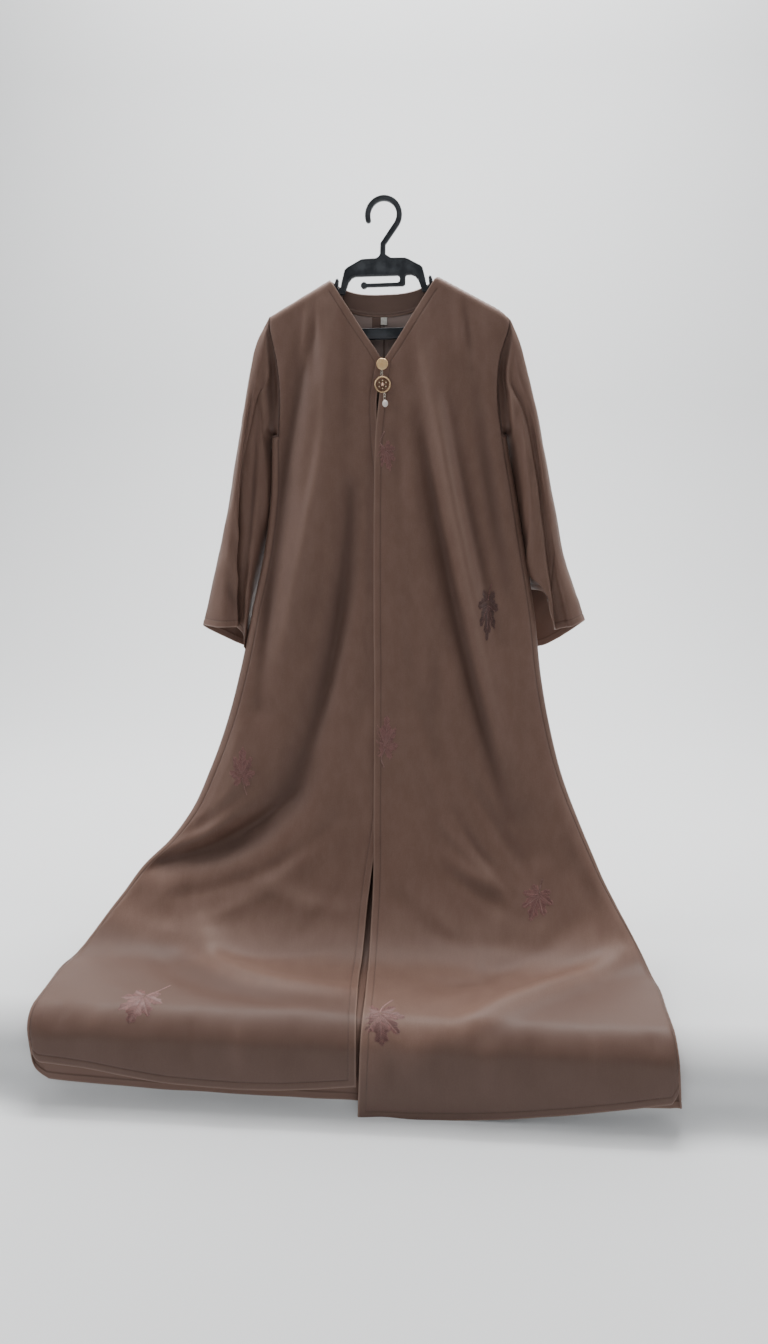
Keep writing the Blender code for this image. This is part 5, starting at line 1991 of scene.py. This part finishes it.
    def creases(self, around: Array, down: Array, to_cuff: Array) -> Array:
        """Drags and small waves of the sleeve and the dip beside its armhole, as a height.

        Args:
            around: distance round the sleeve.
            down: distance down the sleeve.
            to_cuff: distance to the cuff's edge.

        Returns:
            The height at each point.
        """
        long_wave = Ripple(31 if self.side.laps else 37, (0.045, 0.090), (0.30, 0.60))
        short_wave = Ripple(41 if self.side.laps else 43, (0.060, 0.140), (0.070, 0.140))
        beside = bell(around / around[:, -1:] - 0.26, 0.11)
        dip = beside * (0.0030 * bell(down - 0.028, 0.007) - 0.0095 * bell(down - 0.012, 0.0065))
        drags = crease_rise(LEFT_DRAGS if self.side.laps else RIGHT_DRAGS, around, down)
        fade = smoothstep(down / 0.02) * smoothstep(to_cuff / 0.03 + 0.3)
        return dip + fade * (0.0008 * long_wave.at(around, down)
                             + 0.0005 * short_wave.at(around, down) + drags)

    def build(self, wardrobe: Wardrobe) -> list[Piece]:
        """Make the sleeve and its stitches.

        Args:
            wardrobe: the finishes.

        Returns:
            The cloth and the stitches.
        """
        name = f"sleeve_{self.side.name.value}"
        sheet, row = self.sheet, self.cuff_row
        closed = np.arange(sheet.outer.shape[1] + 1) % sheet.outer.shape[1]
        cuff = StitchLine(sheet.outer[row, closed], sheet.normal[row, closed])
        return make_panel(name, name, self.sheet, wardrobe.cloth, [cuff], wardrobe)


@dataclass
class InsideNeck:
    """What shows inside the back neck: facing, label and the small square behind the label."""

    facing_half: float = 0.0660
    facing_z: float = -0.1722
    facing_rise: float = 0.0120
    facing_drop: float = 0.0006
    facing_rows: int = 34
    facing_columns: int = 61
    facing_hem: float = 0.0040
    facing_inset: float = 0.0016
    facing_wall: float = 0.0006
    hem_row: int = 30
    square_points: int = 9
    square_wall: float = 0.0005

    def patch(self, xs: Array, tops: Array, bottoms: Array, rows: int, inset: float) -> Array:
        """Grid of points laid inside the back.

        Args:
            xs: places along X.
            tops: height of the top edge at each.
            bottoms: height of the bottom edge at each.
            rows: how many rows.
            inset: how far inside the back's outer face.

        Returns:
            The points, in rows.
        """
        columns = []
        for x, top, bottom in zip(xs, tops, bottoms):
            side = LEFT if x >= 0.0 else RIGHT
            lengths = FORM.path.length_at(np.linspace(top, bottom, rows))
            turns = 3.0 - np.maximum(abs(x), MM) / FORM.sizes(side, lengths)[0]
            line = FORM.point(side, turns, lengths)
            line[:, 0] = x
            line[:, 1] -= inset
            columns.append(line)
        return np.stack(columns, axis=1)

    def sheet_of(self, points: Array, hem: float, wall: float) -> Sheet:
        """A sheet with a hem along its bottom edge.

        Args:
            points: the points.
            hem: the hem's width.
            wall: the cloth's thickness.

        Returns:
            The sheet.
        """
        down = np.linalg.norm(points - points[-1:], axis=-1)
        place = np.stack([points[..., 0], down, np.zeros(down.shape)], axis=-1)
        return Sheet(points, down, np.full(down.shape, 1.0), place, flip=True, hem_width=hem,
                     wall=wall)

    def build(self, wardrobe: Wardrobe) -> list[Piece]:
        """Make the facing, its stitches, the label and the square behind it.

        Args:
            wardrobe: the finishes.

        Returns:
            The four pieces.
        """
        xs = np.linspace(-self.facing_half, self.facing_half, self.facing_columns)
        tops = np.array([float(FORM.back_neck(LEFT if x >= 0.0 else RIGHT, abs(x))) for x in xs])
        bottoms = (self.facing_z + self.facing_rise * (np.abs(xs) / self.facing_half) ** 2
                   + FORM.tilt * xs)
        points = self.patch(xs, tops - self.facing_drop, bottoms, self.facing_rows,
                            self.facing_inset)
        sheet = self.sheet_of(points, self.facing_hem, self.facing_wall)
        facing = sheet.build("neck_facing_cloth", wardrobe.facing)
        line = StitchLine(sheet.inner[self.hem_row], -sheet.normal[self.hem_row])
        thread = sew("facing_stitches", [line], wardrobe)
        declare_cloth("back_neck_facing")
        label = self.square("label_tab", (-0.00475, 0.00495), (-0.1735, -0.1848), 0.0019,
                            wardrobe.tape)
        declare_cloth("label")
        # A small square of the darker facing cloth beside the label.
        dark_square = self.square("label_dark_square", (-0.0185, -0.0052), (-0.1728, -0.1905), 0.0013,
                              wardrobe.facing)
        declare_cloth(None)
        return [facing, thread, label, dark_square]

    def square(self, name: str, sides: Pair, ends: Pair, inset: float, finish: Material) -> Piece:
        """Make a small unhemmed square of cloth inside the back.

        Args:
            name: the piece's name.
            sides: X of its two sides.
            ends: height of its top and of its bottom.
            inset: how far inside the back's outer face.
            finish: its material.

        Returns:
            The piece.
        """
        count = self.square_points
        xs, level = np.linspace(*sides, count), np.full(count, 1.0)
        points = self.patch(xs, level * ends[0], level * ends[1], count, inset)
        return self.sheet_of(points, 0.0, self.square_wall).build(name, finish)


class Lobe(NamedTuple):
    """One lobe of a leaf: its direction in degrees from the tip's, length and half width."""

    turn: float
    length: float
    half_width: float
    root: float


LOBES = table(
    Lobe,
    (0, 1.00, 0.20, 0.00),
    (34, 0.84, 0.16, -0.06),
    (-34, 0.84, 0.16, -0.06),
    (72, 0.68, 0.14, -0.12),
    (-72, 0.68, 0.14, -0.12),
    (116, 0.44, 0.12, -0.16),
    (-116, 0.44, 0.12, -0.16),
)


class LeafTone(Enum):
    """Which thread a leaf is sewn with; the two darker threads are painted shade, one for the leaf
    that lies in a fold and one for the leaves on the brightly lit lying cloth.
    """

    PLAIN = "plain"
    IN_FOLD_SHADE = "deep"
    LOW = "low"


@dataclass
class LeafMotif:
    """A leaf in satin stitch, with a raised stem, worked on a front."""

    name: str
    panel: FrontPanel
    x: float
    length: float
    size: float
    turn: float
    stem: tuple[Pair, ...]
    seed: int
    narrow: float = 1.0
    tone: LeafTone = LeafTone.PLAIN
    thread: float = 0.00055
    stations: int = 5
    stem_pitch: float = 0.00048
    stem_half: float = 0.00095
    stem_slant: float = 0.0003
    rib_pitch: float = 0.0024
    rib_stitch: float = 0.0021
    rib_lift: float = 0.00022
    edge_gap: float = 0.0022
    ribbed: int = 5

    def lay(self, starts: Array, ends: Array) -> tuple[Array, Array]:
        """Lines over the cloth between places of the motif, and the cloth's normals there.

        Args:
            starts: where each thread starts, across and up from the motif's middle.
            ends: where it ends.

        Returns:
            The lines and their normals, less the threads that would pass the cloth's edge.
        """
        part = np.linspace(0.0, 1.0, self.stations)[None, :, None]
        spots = starts[:, None, :] * (1.0 - part) + ends[:, None, :] * part
        x, down = self.x + spots[..., 0], self.length - spots[..., 1]
        side = self.panel.side
        keep = (side.sign * (x - FORM.front_edge(side, down)) > self.edge_gap).all(axis=1)
        return self.panel.place_on(x[keep], down[keep])

    def towards(self, turn: float) -> Array:
        """Direction at an angle from the leaf's tip, in degrees."""
        angle = math.radians(self.turn + turn)
        return np.array([math.sin(angle), math.cos(angle)])

    def lobe_threads(self, lobe: Lobe) -> tuple[Array, Array]:
        """Starts and ends of the threads of one lobe, from its rib to both of its sides.

        Args:
            lobe: the lobe.

        Returns:
            The starts and the ends.
        """
        ahead, tip = self.towards(lobe.turn), self.towards(0.0)
        aside = np.array([ahead[1], -ahead[0]])
        long = lobe.length * self.size
        count = max(8, int(long / self.thread))
        part = np.linspace(0.02, 0.98, count)
        notch = 1.0 + 0.22 * np.sin(part * 17.0 + self.seed + lobe.turn)
        half = lobe.half_width * self.size * np.sin(math.pi * part ** 0.75) ** 0.8 * notch
        root = tip * lobe.root * self.size
        rib = root + ahead * (part * long)[:, None]
        starts, ends = [], []
        for sign in (-1.0, 1.0):
            starts.append(rib + aside * sign * 0.0002)
            ends.append(rib + aside * (sign * half)[:, None] + ahead * (half * 0.75)[:, None])
        places, tips = np.concatenate(starts), np.concatenate(ends)
        squeeze = np.array([self.narrow, 1.0])
        return places * squeeze, tips * squeeze

    def build(self, wardrobe: Wardrobe) -> list[Piece]:
        """Make the leaf's threads, its ribs and its stem.

        Args:
            wardrobe: the finishes.

        Returns:
            The leaf and the stem.
        """
        thread, stem_thread = {
            LeafTone.PLAIN: (wardrobe.leaf, wardrobe.stem),
            LeafTone.IN_FOLD_SHADE: (wardrobe.leaf_in_fold_shade, wardrobe.leaf),
            LeafTone.LOW: (wardrobe.leaf_painted_darker, wardrobe.leaf),
        }[self.tone]
        made = [self.lobe_threads(lobe) for lobe in LOBES]
        starts = np.concatenate([start for start, _ in made])
        ends = np.concatenate([end for _, end in made])
        leaf = Strands(self.thread * 1.25, 0.00055).build(
            f"{self.name}_threads", *self.lay(starts, ends), thread, self.seed)

        path = self.stem_path()
        run = unit(np.gradient(path, axis=0))
        aside = np.stack([run[:, 1], -run[:, 0]], axis=1) * self.stem_half
        slant = run * self.stem_slant
        line, normal = self.lay(path - aside - slant, path + aside + slant)
        rib_line, rib_normal = self.lay(*self.rib_threads())
        stem = Strands(0.00062, 0.00085).build(
            f"{self.name}_stem", np.concatenate([line, rib_line + rib_normal * self.rib_lift]),
            np.concatenate([normal, rib_normal]), stem_thread, self.seed + 1)
        return [leaf, stem]

    def rib_threads(self) -> tuple[Array, Array]:
        """Short paler stitches along the rib of each lobe.

        Returns:
            The starts and the ends.
        """
        starts, ends = [], []
        for lobe in LOBES[:self.ribbed]:
            ahead = self.towards(lobe.turn)
            part = np.arange(0.04, 0.70, self.rib_pitch / (lobe.length * self.size))
            starts.append(ahead * (part * lobe.length * self.size)[:, None])
            ends.append(starts[-1] + ahead * self.rib_stitch)
        squeeze = np.array([self.narrow, 1.0])
        return np.concatenate(starts) * squeeze, np.concatenate(ends) * squeeze

    def stem_path(self) -> Array:
        """Places along the stem, a thread's width apart.

        Returns:
            The places, in rows.
        """
        knots = np.array(self.stem) * MM
        keys = np.arange(len(knots), dtype=float)
        fine = blend_through(keys, knots, np.gradient(knots, keys, axis=0),
                             np.linspace(0.0, keys[-1], 80))
        walk = walked(fine, 0)
        return read_lines(np.arange(0.0, walk[-1], self.stem_pitch), walk, fine)


@dataclass
class Garment:
    """The kaftan itself: two fronts, two halves of the back, two sleeves and their sewing."""

    wardrobe: Wardrobe

    def build(self) -> list[Piece]:
        """Make every piece of the garment.

        Returns:
            The pieces.
        """
        pieces, fronts = [], {}
        for side in (RIGHT, LEFT):
            front = FrontPanel(side)
            back = BackPanel(side, front)
            for panel in (front, back, Sleeve(side, front, back)):
                pieces += panel.build(self.wardrobe)
            fronts[side.name] = front
        pieces += InsideNeck().build(self.wardrobe)
        for leaf in self.leaves(fronts[SideName.RIGHT], fronts[SideName.LEFT]):
            pieces += leaf.build(self.wardrobe)
        return pieces

    @staticmethod
    def leaves(right: FrontPanel, left: FrontPanel) -> list[LeafMotif]:
        """The seven embroidered leaves.

        Args:
            right: the front on the wearer's right.
            left: the front on the wearer's left.

        Returns:
            The leaves.
        """
        rows = (
            ("chest", left, 0.006, 0.270, 0.034, 162, ((-2, 4), (-9, 14), (-2, 31)), 3, 0.72),
            # The side leaf is sewn in the thread darkened as painted shade of its fold.
            ("side", left, 0.174, 0.516, 0.058, 184, ((0, 8), (1, 20), (5, 34)), 5, 0.44,
             LeafTone.IN_FOLD_SHADE),
            ("knee", left, 0.010, 0.747, 0.050, 5, ((0, -6), (-6, -20), (-1, -36)), 7, 0.66),
            ("right_knee", right, -0.225, 0.799, 0.046, 0, ((1, -6), (3, -18), (8, -34)), 9,
             0.70),
            ("left_low", left, 0.260, 0.982, 0.040, 200, ((1, 6), (3, 16), (6, 28)), 11),
            # The two low leaves are sewn in the thread painted darker against the bright light on
            # the lying cloth.
            ("right_low", right, -0.319, 1.230, 0.050, 190, ((4, 6), (14, 18), (30, 38)), 13, 1.0,
             LeafTone.LOW),
            ("hem", left, 0.028, 1.246, 0.052, 175, ((-2, 6), (2, 20), (14, 38)), 15, 1.0,
             LeafTone.LOW),
        )
        return [LeafMotif(f"leaf_{name}", *rest) for name, *rest in rows]


# Clasp and hanger

def wire(line: Array, radius: float, around: int = 10) -> tuple[Array, Array]:
    """Points and faces of a round wire along a closed line that lies near the XZ plane.

    Args:
        line: points of the line.
        radius: half the wire's thickness.
        around: how many points go round the wire.

    Returns:
        The points and the faces.
    """
    line = np.asarray(line, float)
    run = unit(np.roll(line, -1, axis=0) - np.roll(line, 1, axis=0))
    aside = unit(np.cross(run, np.array([0.0, -1.0, 0.0])))
    up = np.cross(aside, run)
    angle = np.linspace(0.0, FULL_TURN, around, endpoint=False)[None, :, None]
    ring = aside[:, None, :] * np.cos(angle) + up[:, None, :] * np.sin(angle)
    points = line[:, None, :] + ring * radius
    index = np.arange(len(line) * around).reshape(len(line), around)
    faces = cells(np.concatenate([index, index[:1]]), ring=True).reshape(-1, 4)
    return points.reshape(-1, 3), faces


def ball(centre: Array, radius: float, squash: Sequence[float] = (1.0, 1.0, 1.0),
         count: int = 10) -> tuple[Array, Array]:
    """Points and faces of a round bead.

    Args:
        centre: its centre.
        radius: its radius.
        squash: its scale along each axis.
        count: how many points go round it.

    Returns:
        The points and the faces.
    """
    rows = count // 2 + 1
    tilt = np.linspace(0.02, math.pi - 0.02, rows)[:, None]
    turn = np.linspace(0.0, FULL_TURN, count, endpoint=False)[None, :]
    points = np.stack([np.sin(tilt) * np.cos(turn), np.sin(tilt) * np.sin(turn),
                       np.cos(tilt) + 0.0 * turn], axis=-1) * radius * np.array(squash)
    index = np.arange(rows * count).reshape(rows, count)
    after = np.roll(index, -1, axis=1)
    faces = np.stack([index[:-1], index[1:], after[1:], after[:-1]], axis=-1).reshape(-1, 4)
    return points.reshape(-1, 3) + np.asarray(centre), faces


def gather(name: str, shapes: Sequence[tuple[Array, Array]], finish: Material) -> Piece:
    """Make one piece of several shapes.

    Args:
        name: the piece's name.
        shapes: points and faces of each shape.
        finish: its material.

    Returns:
        The piece.
    """
    points, faces, count = [], [], 0
    for some, quads in shapes:
        points.append(some)
        faces.append(quads + count)
        count += len(some)
    piece = make_piece(name, np.concatenate(points), np.concatenate(faces), finish)
    return piece


def on_circle(turn: float, radius: float, y: float = 0.0) -> Array:
    """A place at an angle round a circle in the XZ plane, with a Y of its own."""
    return np.array([math.cos(turn) * radius, y, math.sin(turn) * radius])


def round_line(count: int, wide: float = 1.0, tall: float = 1.0) -> Array:
    """Points round a circle or an oval in the XZ plane."""
    angle = np.linspace(0.0, FULL_TURN, count, endpoint=False)
    return np.stack([np.cos(angle) * wide, np.zeros(count), np.sin(angle) * tall], axis=1)


@dataclass
class Clasp:
    """The clasp at the neck: disc, beaded loops, openwork medallion, links and a pearl."""

    wardrobe: Wardrobe
    medallion_radius: float = 0.0132
    rim: float = 0.0013
    petals: int = 6
    flower_beads: int = 5
    squash: Triple = (1.0, 0.7, 1.0)
    loop_beads: int = 8
    loop_half_width: float = 0.0014
    rim_beads: int = 40
    link_wire: float = 0.00042
    edge_wire: float = 0.00035
    petal_wire: float = 0.00050
    petal_middle: float = 0.0058
    petal_half: Pair = (0.0038, 0.0023)
    ring_middle: float = 0.0087
    ring_radius: float = 0.0013
    ring_wire: float = 0.00036
    flower_radius: float = 0.0018
    flower_bead: float = 0.00115
    petal_bead: float = 0.0011
    middle_bead: float = 0.0009
    rim_bead: float = 0.00050
    loop_bead: float = 0.00062
    slot: str = "clasp_gold"

    def build(self) -> list[Piece]:
        """Dress the disc and the pearl, and make the finer medallion and links.

        Returns:
            The pieces.
        """
        disc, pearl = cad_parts["clasp_button"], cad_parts["pearl"]
        for node, finish in ((disc, self.wardrobe.gold), (pearl, self.wardrobe.pearl)):
            node.material_slots[0].material = finish
        return [disc, pearl, self.button_edge(), *self.medallion(), *self.loops()]

    def button_edge(self) -> Piece:
        """Make a fine raised line round the disc's face.

        Returns:
            The line.
        """
        low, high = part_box("clasp_button")
        centre = (low + high) / 2.0
        radius = (high.x - low.x) / 2.0 - 0.0011
        line = round_line(48) * radius + np.array([centre.x, low.y + 0.00045, centre.z])
        edge = wire(line, self.edge_wire, 8)
        return gather("button_rim", [edge], self.wardrobe.pale_gold)

    def medallion(self) -> list[Piece]:
        """Make the openwork medallion: a rim, petal loops, a flower and small beads.

        Returns:
            The rim, the openwork and the beads.
        """
        low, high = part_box("medallion")
        centre = np.array((low + high) / 2.0)
        radius = self.medallion_radius - self.rim
        turns = [FULL_TURN * petal / self.petals + math.pi / 2.0 for petal in range(self.petals)]
        rim = [wire(centre + round_line(72) * radius, self.rim, 12)]
        rim += [ball(centre + on_circle(turn, radius, -self.rim * 0.9), self.rim_bead, count=8)
                for turn in np.linspace(0.0, FULL_TURN, self.rim_beads, endpoint=False)]

        flower = [wire(centre + round_line(72) * (radius - self.rim * 1.4), self.link_wire, 8)]
        petal_angle = np.linspace(0.0, FULL_TURN, 20, endpoint=False)
        for turn in turns:
            ahead = on_circle(turn, 1.0)
            aside = np.array([-ahead[2], 0.0, ahead[0]])
            loop = (centre + ahead * self.petal_middle
                    + ahead * np.cos(petal_angle)[:, None] * self.petal_half[0]
                    + aside * np.sin(petal_angle)[:, None] * self.petal_half[1])
            loop[:, 1] -= 0.0005
            flower.append(wire(loop, self.petal_wire, 8))
            spoke = on_circle(turn + math.pi / self.petals, 1.0)
            ring = centre + spoke * self.ring_middle + round_line(20) * self.ring_radius
            flower.append(wire(ring, self.ring_wire, 6))
        for petal in range(self.flower_beads):
            turn = FULL_TURN * petal / self.flower_beads + math.pi / 2.0
            spot = centre + on_circle(turn, self.flower_radius, -0.0009)
            flower.append(ball(spot, self.flower_bead, self.squash))

        beads = [ball(centre + np.array([0.0, -0.0015, 0.0]), self.middle_bead)]
        beads += [ball(centre + on_circle(turn, 0.0062, -0.0006), self.petal_bead, self.squash)
                  for turn in turns]
        pale, pink = self.wardrobe.pale_gold, self.wardrobe.pink_gold
        pieces = [gather(name, shapes, finish) for name, shapes, finish in (
            ("medallion_rim", rim, pale), ("medallion_openwork", flower, pink),
            ("medallion_beads", beads, pale))]
        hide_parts("medallion")
        return pieces

    def loops(self) -> list[Piece]:
        """Make the beaded loops above the medallion and the wire links below it.

        Returns:
            The loops and the links.
        """
        pieces = []
        for node, name in (("link_upper", "upper_loops"), ("link_lower", "lower_links")):
            low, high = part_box(node)
            centre, tall = np.array((low + high) / 2.0), high.z - low.z
            half = 0.30 * tall * 0.92
            shapes = []
            for place in (0.24, -0.24):
                middle = centre + np.array([0.0, 0.0, place * tall])
                oval = round_line(28, self.loop_half_width, half)
                shapes.append(wire(middle + oval, self.link_wire, 8))
                for bead in range(self.loop_beads):
                    turn = FULL_TURN * bead / self.loop_beads
                    spot = np.array([math.cos(turn) * self.loop_half_width, -0.0002,
                                     math.sin(turn) * half])
                    shapes.append(ball(middle + spot, self.loop_bead, count=8))
            piece = gather(name, shapes, self.wardrobe.silver)
            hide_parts(node)
            pieces.append(piece)
        return pieces


@dataclass
class Hanger:
    """The moulded hanger: the part's own plate, with the rib that stands round its front."""

    wardrobe: Wardrobe
    rib: float = 0.0009
    least_points: int = 12

    def build(self) -> list[Piece]:
        """Dress the hanger's node and lay the rib round the edges of its front face.

        Returns:
            The plate and its rib.
        """
        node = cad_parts["hanger"]
        node.material_slots[0].material = self.wardrobe.plastic
        shapes = [wire(line, self.rib, 8) for line in self.outlines(node)]
        return [node, gather("hanger_ribs", shapes, self.wardrobe.plastic)]

    def outlines(self, node: Piece) -> list[Array]:
        """Closed lines round the front face of the plate, from the edges of its flat front.

        Args:
            node: the hanger's node.

        Returns:
            The lines.
        """
        mesh = node.data
        spots = np.array([tuple(node.matrix_world @ vertex.co) for vertex in mesh.vertices])
        _, first, same = np.unique(spots.round(6), axis=0, return_index=True, return_inverse=True)
        same, spots = same.ravel(), spots[first]
        front, other = set(), set()
        for face in mesh.polygons:
            corners = same[list(face.vertices)]
            first, second, third = spots[corners[:3]]
            facing = unit(np.cross(second - first, third - first))[1]
            keep = front if facing < -0.95 else other
            keep.update(tuple(sorted(pair)) for pair in zip(corners, np.roll(corners, -1)))
        follows: dict[int, list[int]] = {}
        for first, second in front & other:
            follows.setdefault(first, []).append(second)
            follows.setdefault(second, []).append(first)
        lines = []
        while follows:
            start = next(iter(follows))
            line, last, here = [start], None, start
            while True:
                ahead = [spot for spot in follows.pop(here, [])
                         if spot != last and spot in follows]
                if not ahead:
                    break
                last, here = here, ahead[0]
                line.append(here)
            if len(line) > self.least_points:
                lines.append(spots[line])
        return lines


# Studio

class Lamp(NamedTuple):
    """One soft lamp: where it stands, what it points at, its width and height, and its watts."""

    name: str
    place: Triple
    aim: Triple
    size: Pair
    power: float


LAMPS = table(
    Lamp,
    ("overhead", (0.0, 0.40, 1.5), (0.0, -0.25, -1.1), (2.2, 1.2), 98.0),
    ("left_side", (-2.2, -0.45, 0.7), (0.0, -0.1, -0.3), (0.9, 1.8), 26.0),
    ("right_side", (2.2, -0.40, 0.7), (0.0, -0.1, -0.3), (0.9, 1.8), 14.0),
    ("front_fill", (-0.3, -1.3, 0.95), (0.0, 0.0, -0.3), (1.0, 0.7), 4.8),
    ("wall_wash", (0.0, 0.9, 2.2), (0.0, 2.2, 0.0), (2.6, 0.8), 112.0),
)


@dataclass
class Studio:
    """Pale sweep with a low step, soft lights and the camera."""

    focal: float = 1000.0
    size: tuple[int, int] = (768, 1344)
    pitch: float = 10.0
    yaw: float = 4.85
    stand: Triple = (0.14231, -1.66794, -0.45546)
    step_top: float = -1.1875
    step_front: float = -0.394
    floor: float = -1.3130
    step_radius: float = 0.064
    foot_radius: float = 0.05
    wall_radius: float = 1.1
    film: float = 36.0
    air: Triple = (0.93, 0.95, 1.0)
    air_strength: float = 0.17

    def camera(self) -> None:
        """Make the camera at the viewing angle of the photograph."""
        data = bpy.data.cameras.new("camera")
        data.sensor_width = self.film
        data.lens = self.focal / max(self.size) * self.film
        data.clip_start, data.clip_end = 0.05, 50.0
        item = self.put("camera", data)
        pitch, yaw = math.radians(self.pitch), math.radians(self.yaw)
        ahead = Vector((-math.sin(yaw) * math.cos(pitch), math.cos(yaw) * math.cos(pitch),
                        -math.sin(pitch)))
        right = Vector((math.cos(yaw), math.sin(yaw), 0.0))
        up = right.cross(ahead)
        turn = Matrix((right, up, -ahead)).transposed()
        item.matrix_world = Matrix.Translation(self.stand) @ turn.to_4x4()
        bpy.context.scene.camera = item

    def sweep(self) -> None:
        """Make the floor, the low step and the wall as one smooth sheet."""
        foot, soft, wall = self.foot_radius, self.step_radius, self.wall_radius
        front, top = self.step_front, self.step_top
        line = np.array([
            (-6.0, self.floor), (front - foot, self.floor),
            *self.corner((front - foot, self.floor + foot), foot, -90.0, 0.0, 10),
            *self.corner((front + soft, top - soft), soft, 180.0, 90.0, 12),
            *self.corner((wall, top + wall), wall, -90.0, 0.0, 24), (2.2, 4.0)])
        xs = np.linspace(-6.0, 6.0, 13)
        points = np.array([(x, y, z) for y, z in line for x in xs])
        index = np.arange(len(points)).reshape(len(line), len(xs))
        mesh = bpy.data.meshes.new("studio_sweep")
        mesh.from_pydata(points.tolist(), [], cells(index).reshape(-1, 4).tolist())
        mesh.shade_smooth()
        mesh.materials.append(StudioFinish().build())
        self.put("studio_sweep", mesh)

    @staticmethod
    def corner(centre: Pair, radius: float, start: float, end: float, count: int) -> list[Pair]:
        """Points round a corner of the sweep, its angles in degrees.

        Args:
            centre: the corner's centre.
            radius: its radius.
            start: angle at which it starts.
            end: angle at which it ends.
            count: how many points it has.

        Returns:
            The points.
        """
        angles = np.radians(np.linspace(start, end, count))
        return [(centre[0] + radius * math.cos(angle), centre[1] + radius * math.sin(angle))
                for angle in angles]

    def lights(self) -> None:
        """Make the soft light: bright from above and a little behind, weak from the front."""
        for lamp in LAMPS:
            data = bpy.data.lights.new(lamp.name, "AREA")
            data.shape = "RECTANGLE"
            data.size, data.size_y = lamp.size
            data.energy = lamp.power
            item = self.put(lamp.name, data)
            item.location = lamp.place
            item.rotation_mode = "QUATERNION"
            ahead = Vector(lamp.aim) - Vector(lamp.place)
            item.rotation_quaternion = ahead.to_track_quat("-Z", "Y")
        world = bpy.data.worlds.new("studio_air")
        world.use_nodes = True
        air = world.node_tree.nodes["Background"].inputs
        air["Color"].default_value = (*self.air, 1.0)
        air["Strength"].default_value = self.air_strength
        bpy.context.scene.world = world

    @staticmethod
    def put(name: str, data: bpy.types.ID) -> Piece:
        """Put an object in the scene.

        Args:
            name: its name.
            data: what it shows.

        Returns:
            The object.
        """
        item = bpy.data.objects.new(name, data)
        bpy.context.scene.collection.objects.link(item)
        return item

    def build(self) -> None:
        """Make the studio."""
        self.camera()
        self.sweep()
        self.lights()


def report(piece: Piece) -> None:
    """Log a piece and how many faces it has."""
    LOG.info("%s: %d faces", piece.name, len(piece.data.polygons))


def main() -> None:
    """Build the studio, the garment, the clasp and the hanger."""
    logging.basicConfig(level=logging.INFO, format="%(message)s")
    Studio().build()
    wardrobe = Wardrobe()
    for maker in (Garment(wardrobe), Clasp(wardrobe), Hanger(wardrobe)):
        for piece in maker.build():
            report(piece)


if __name__ == "__main__":
    main()
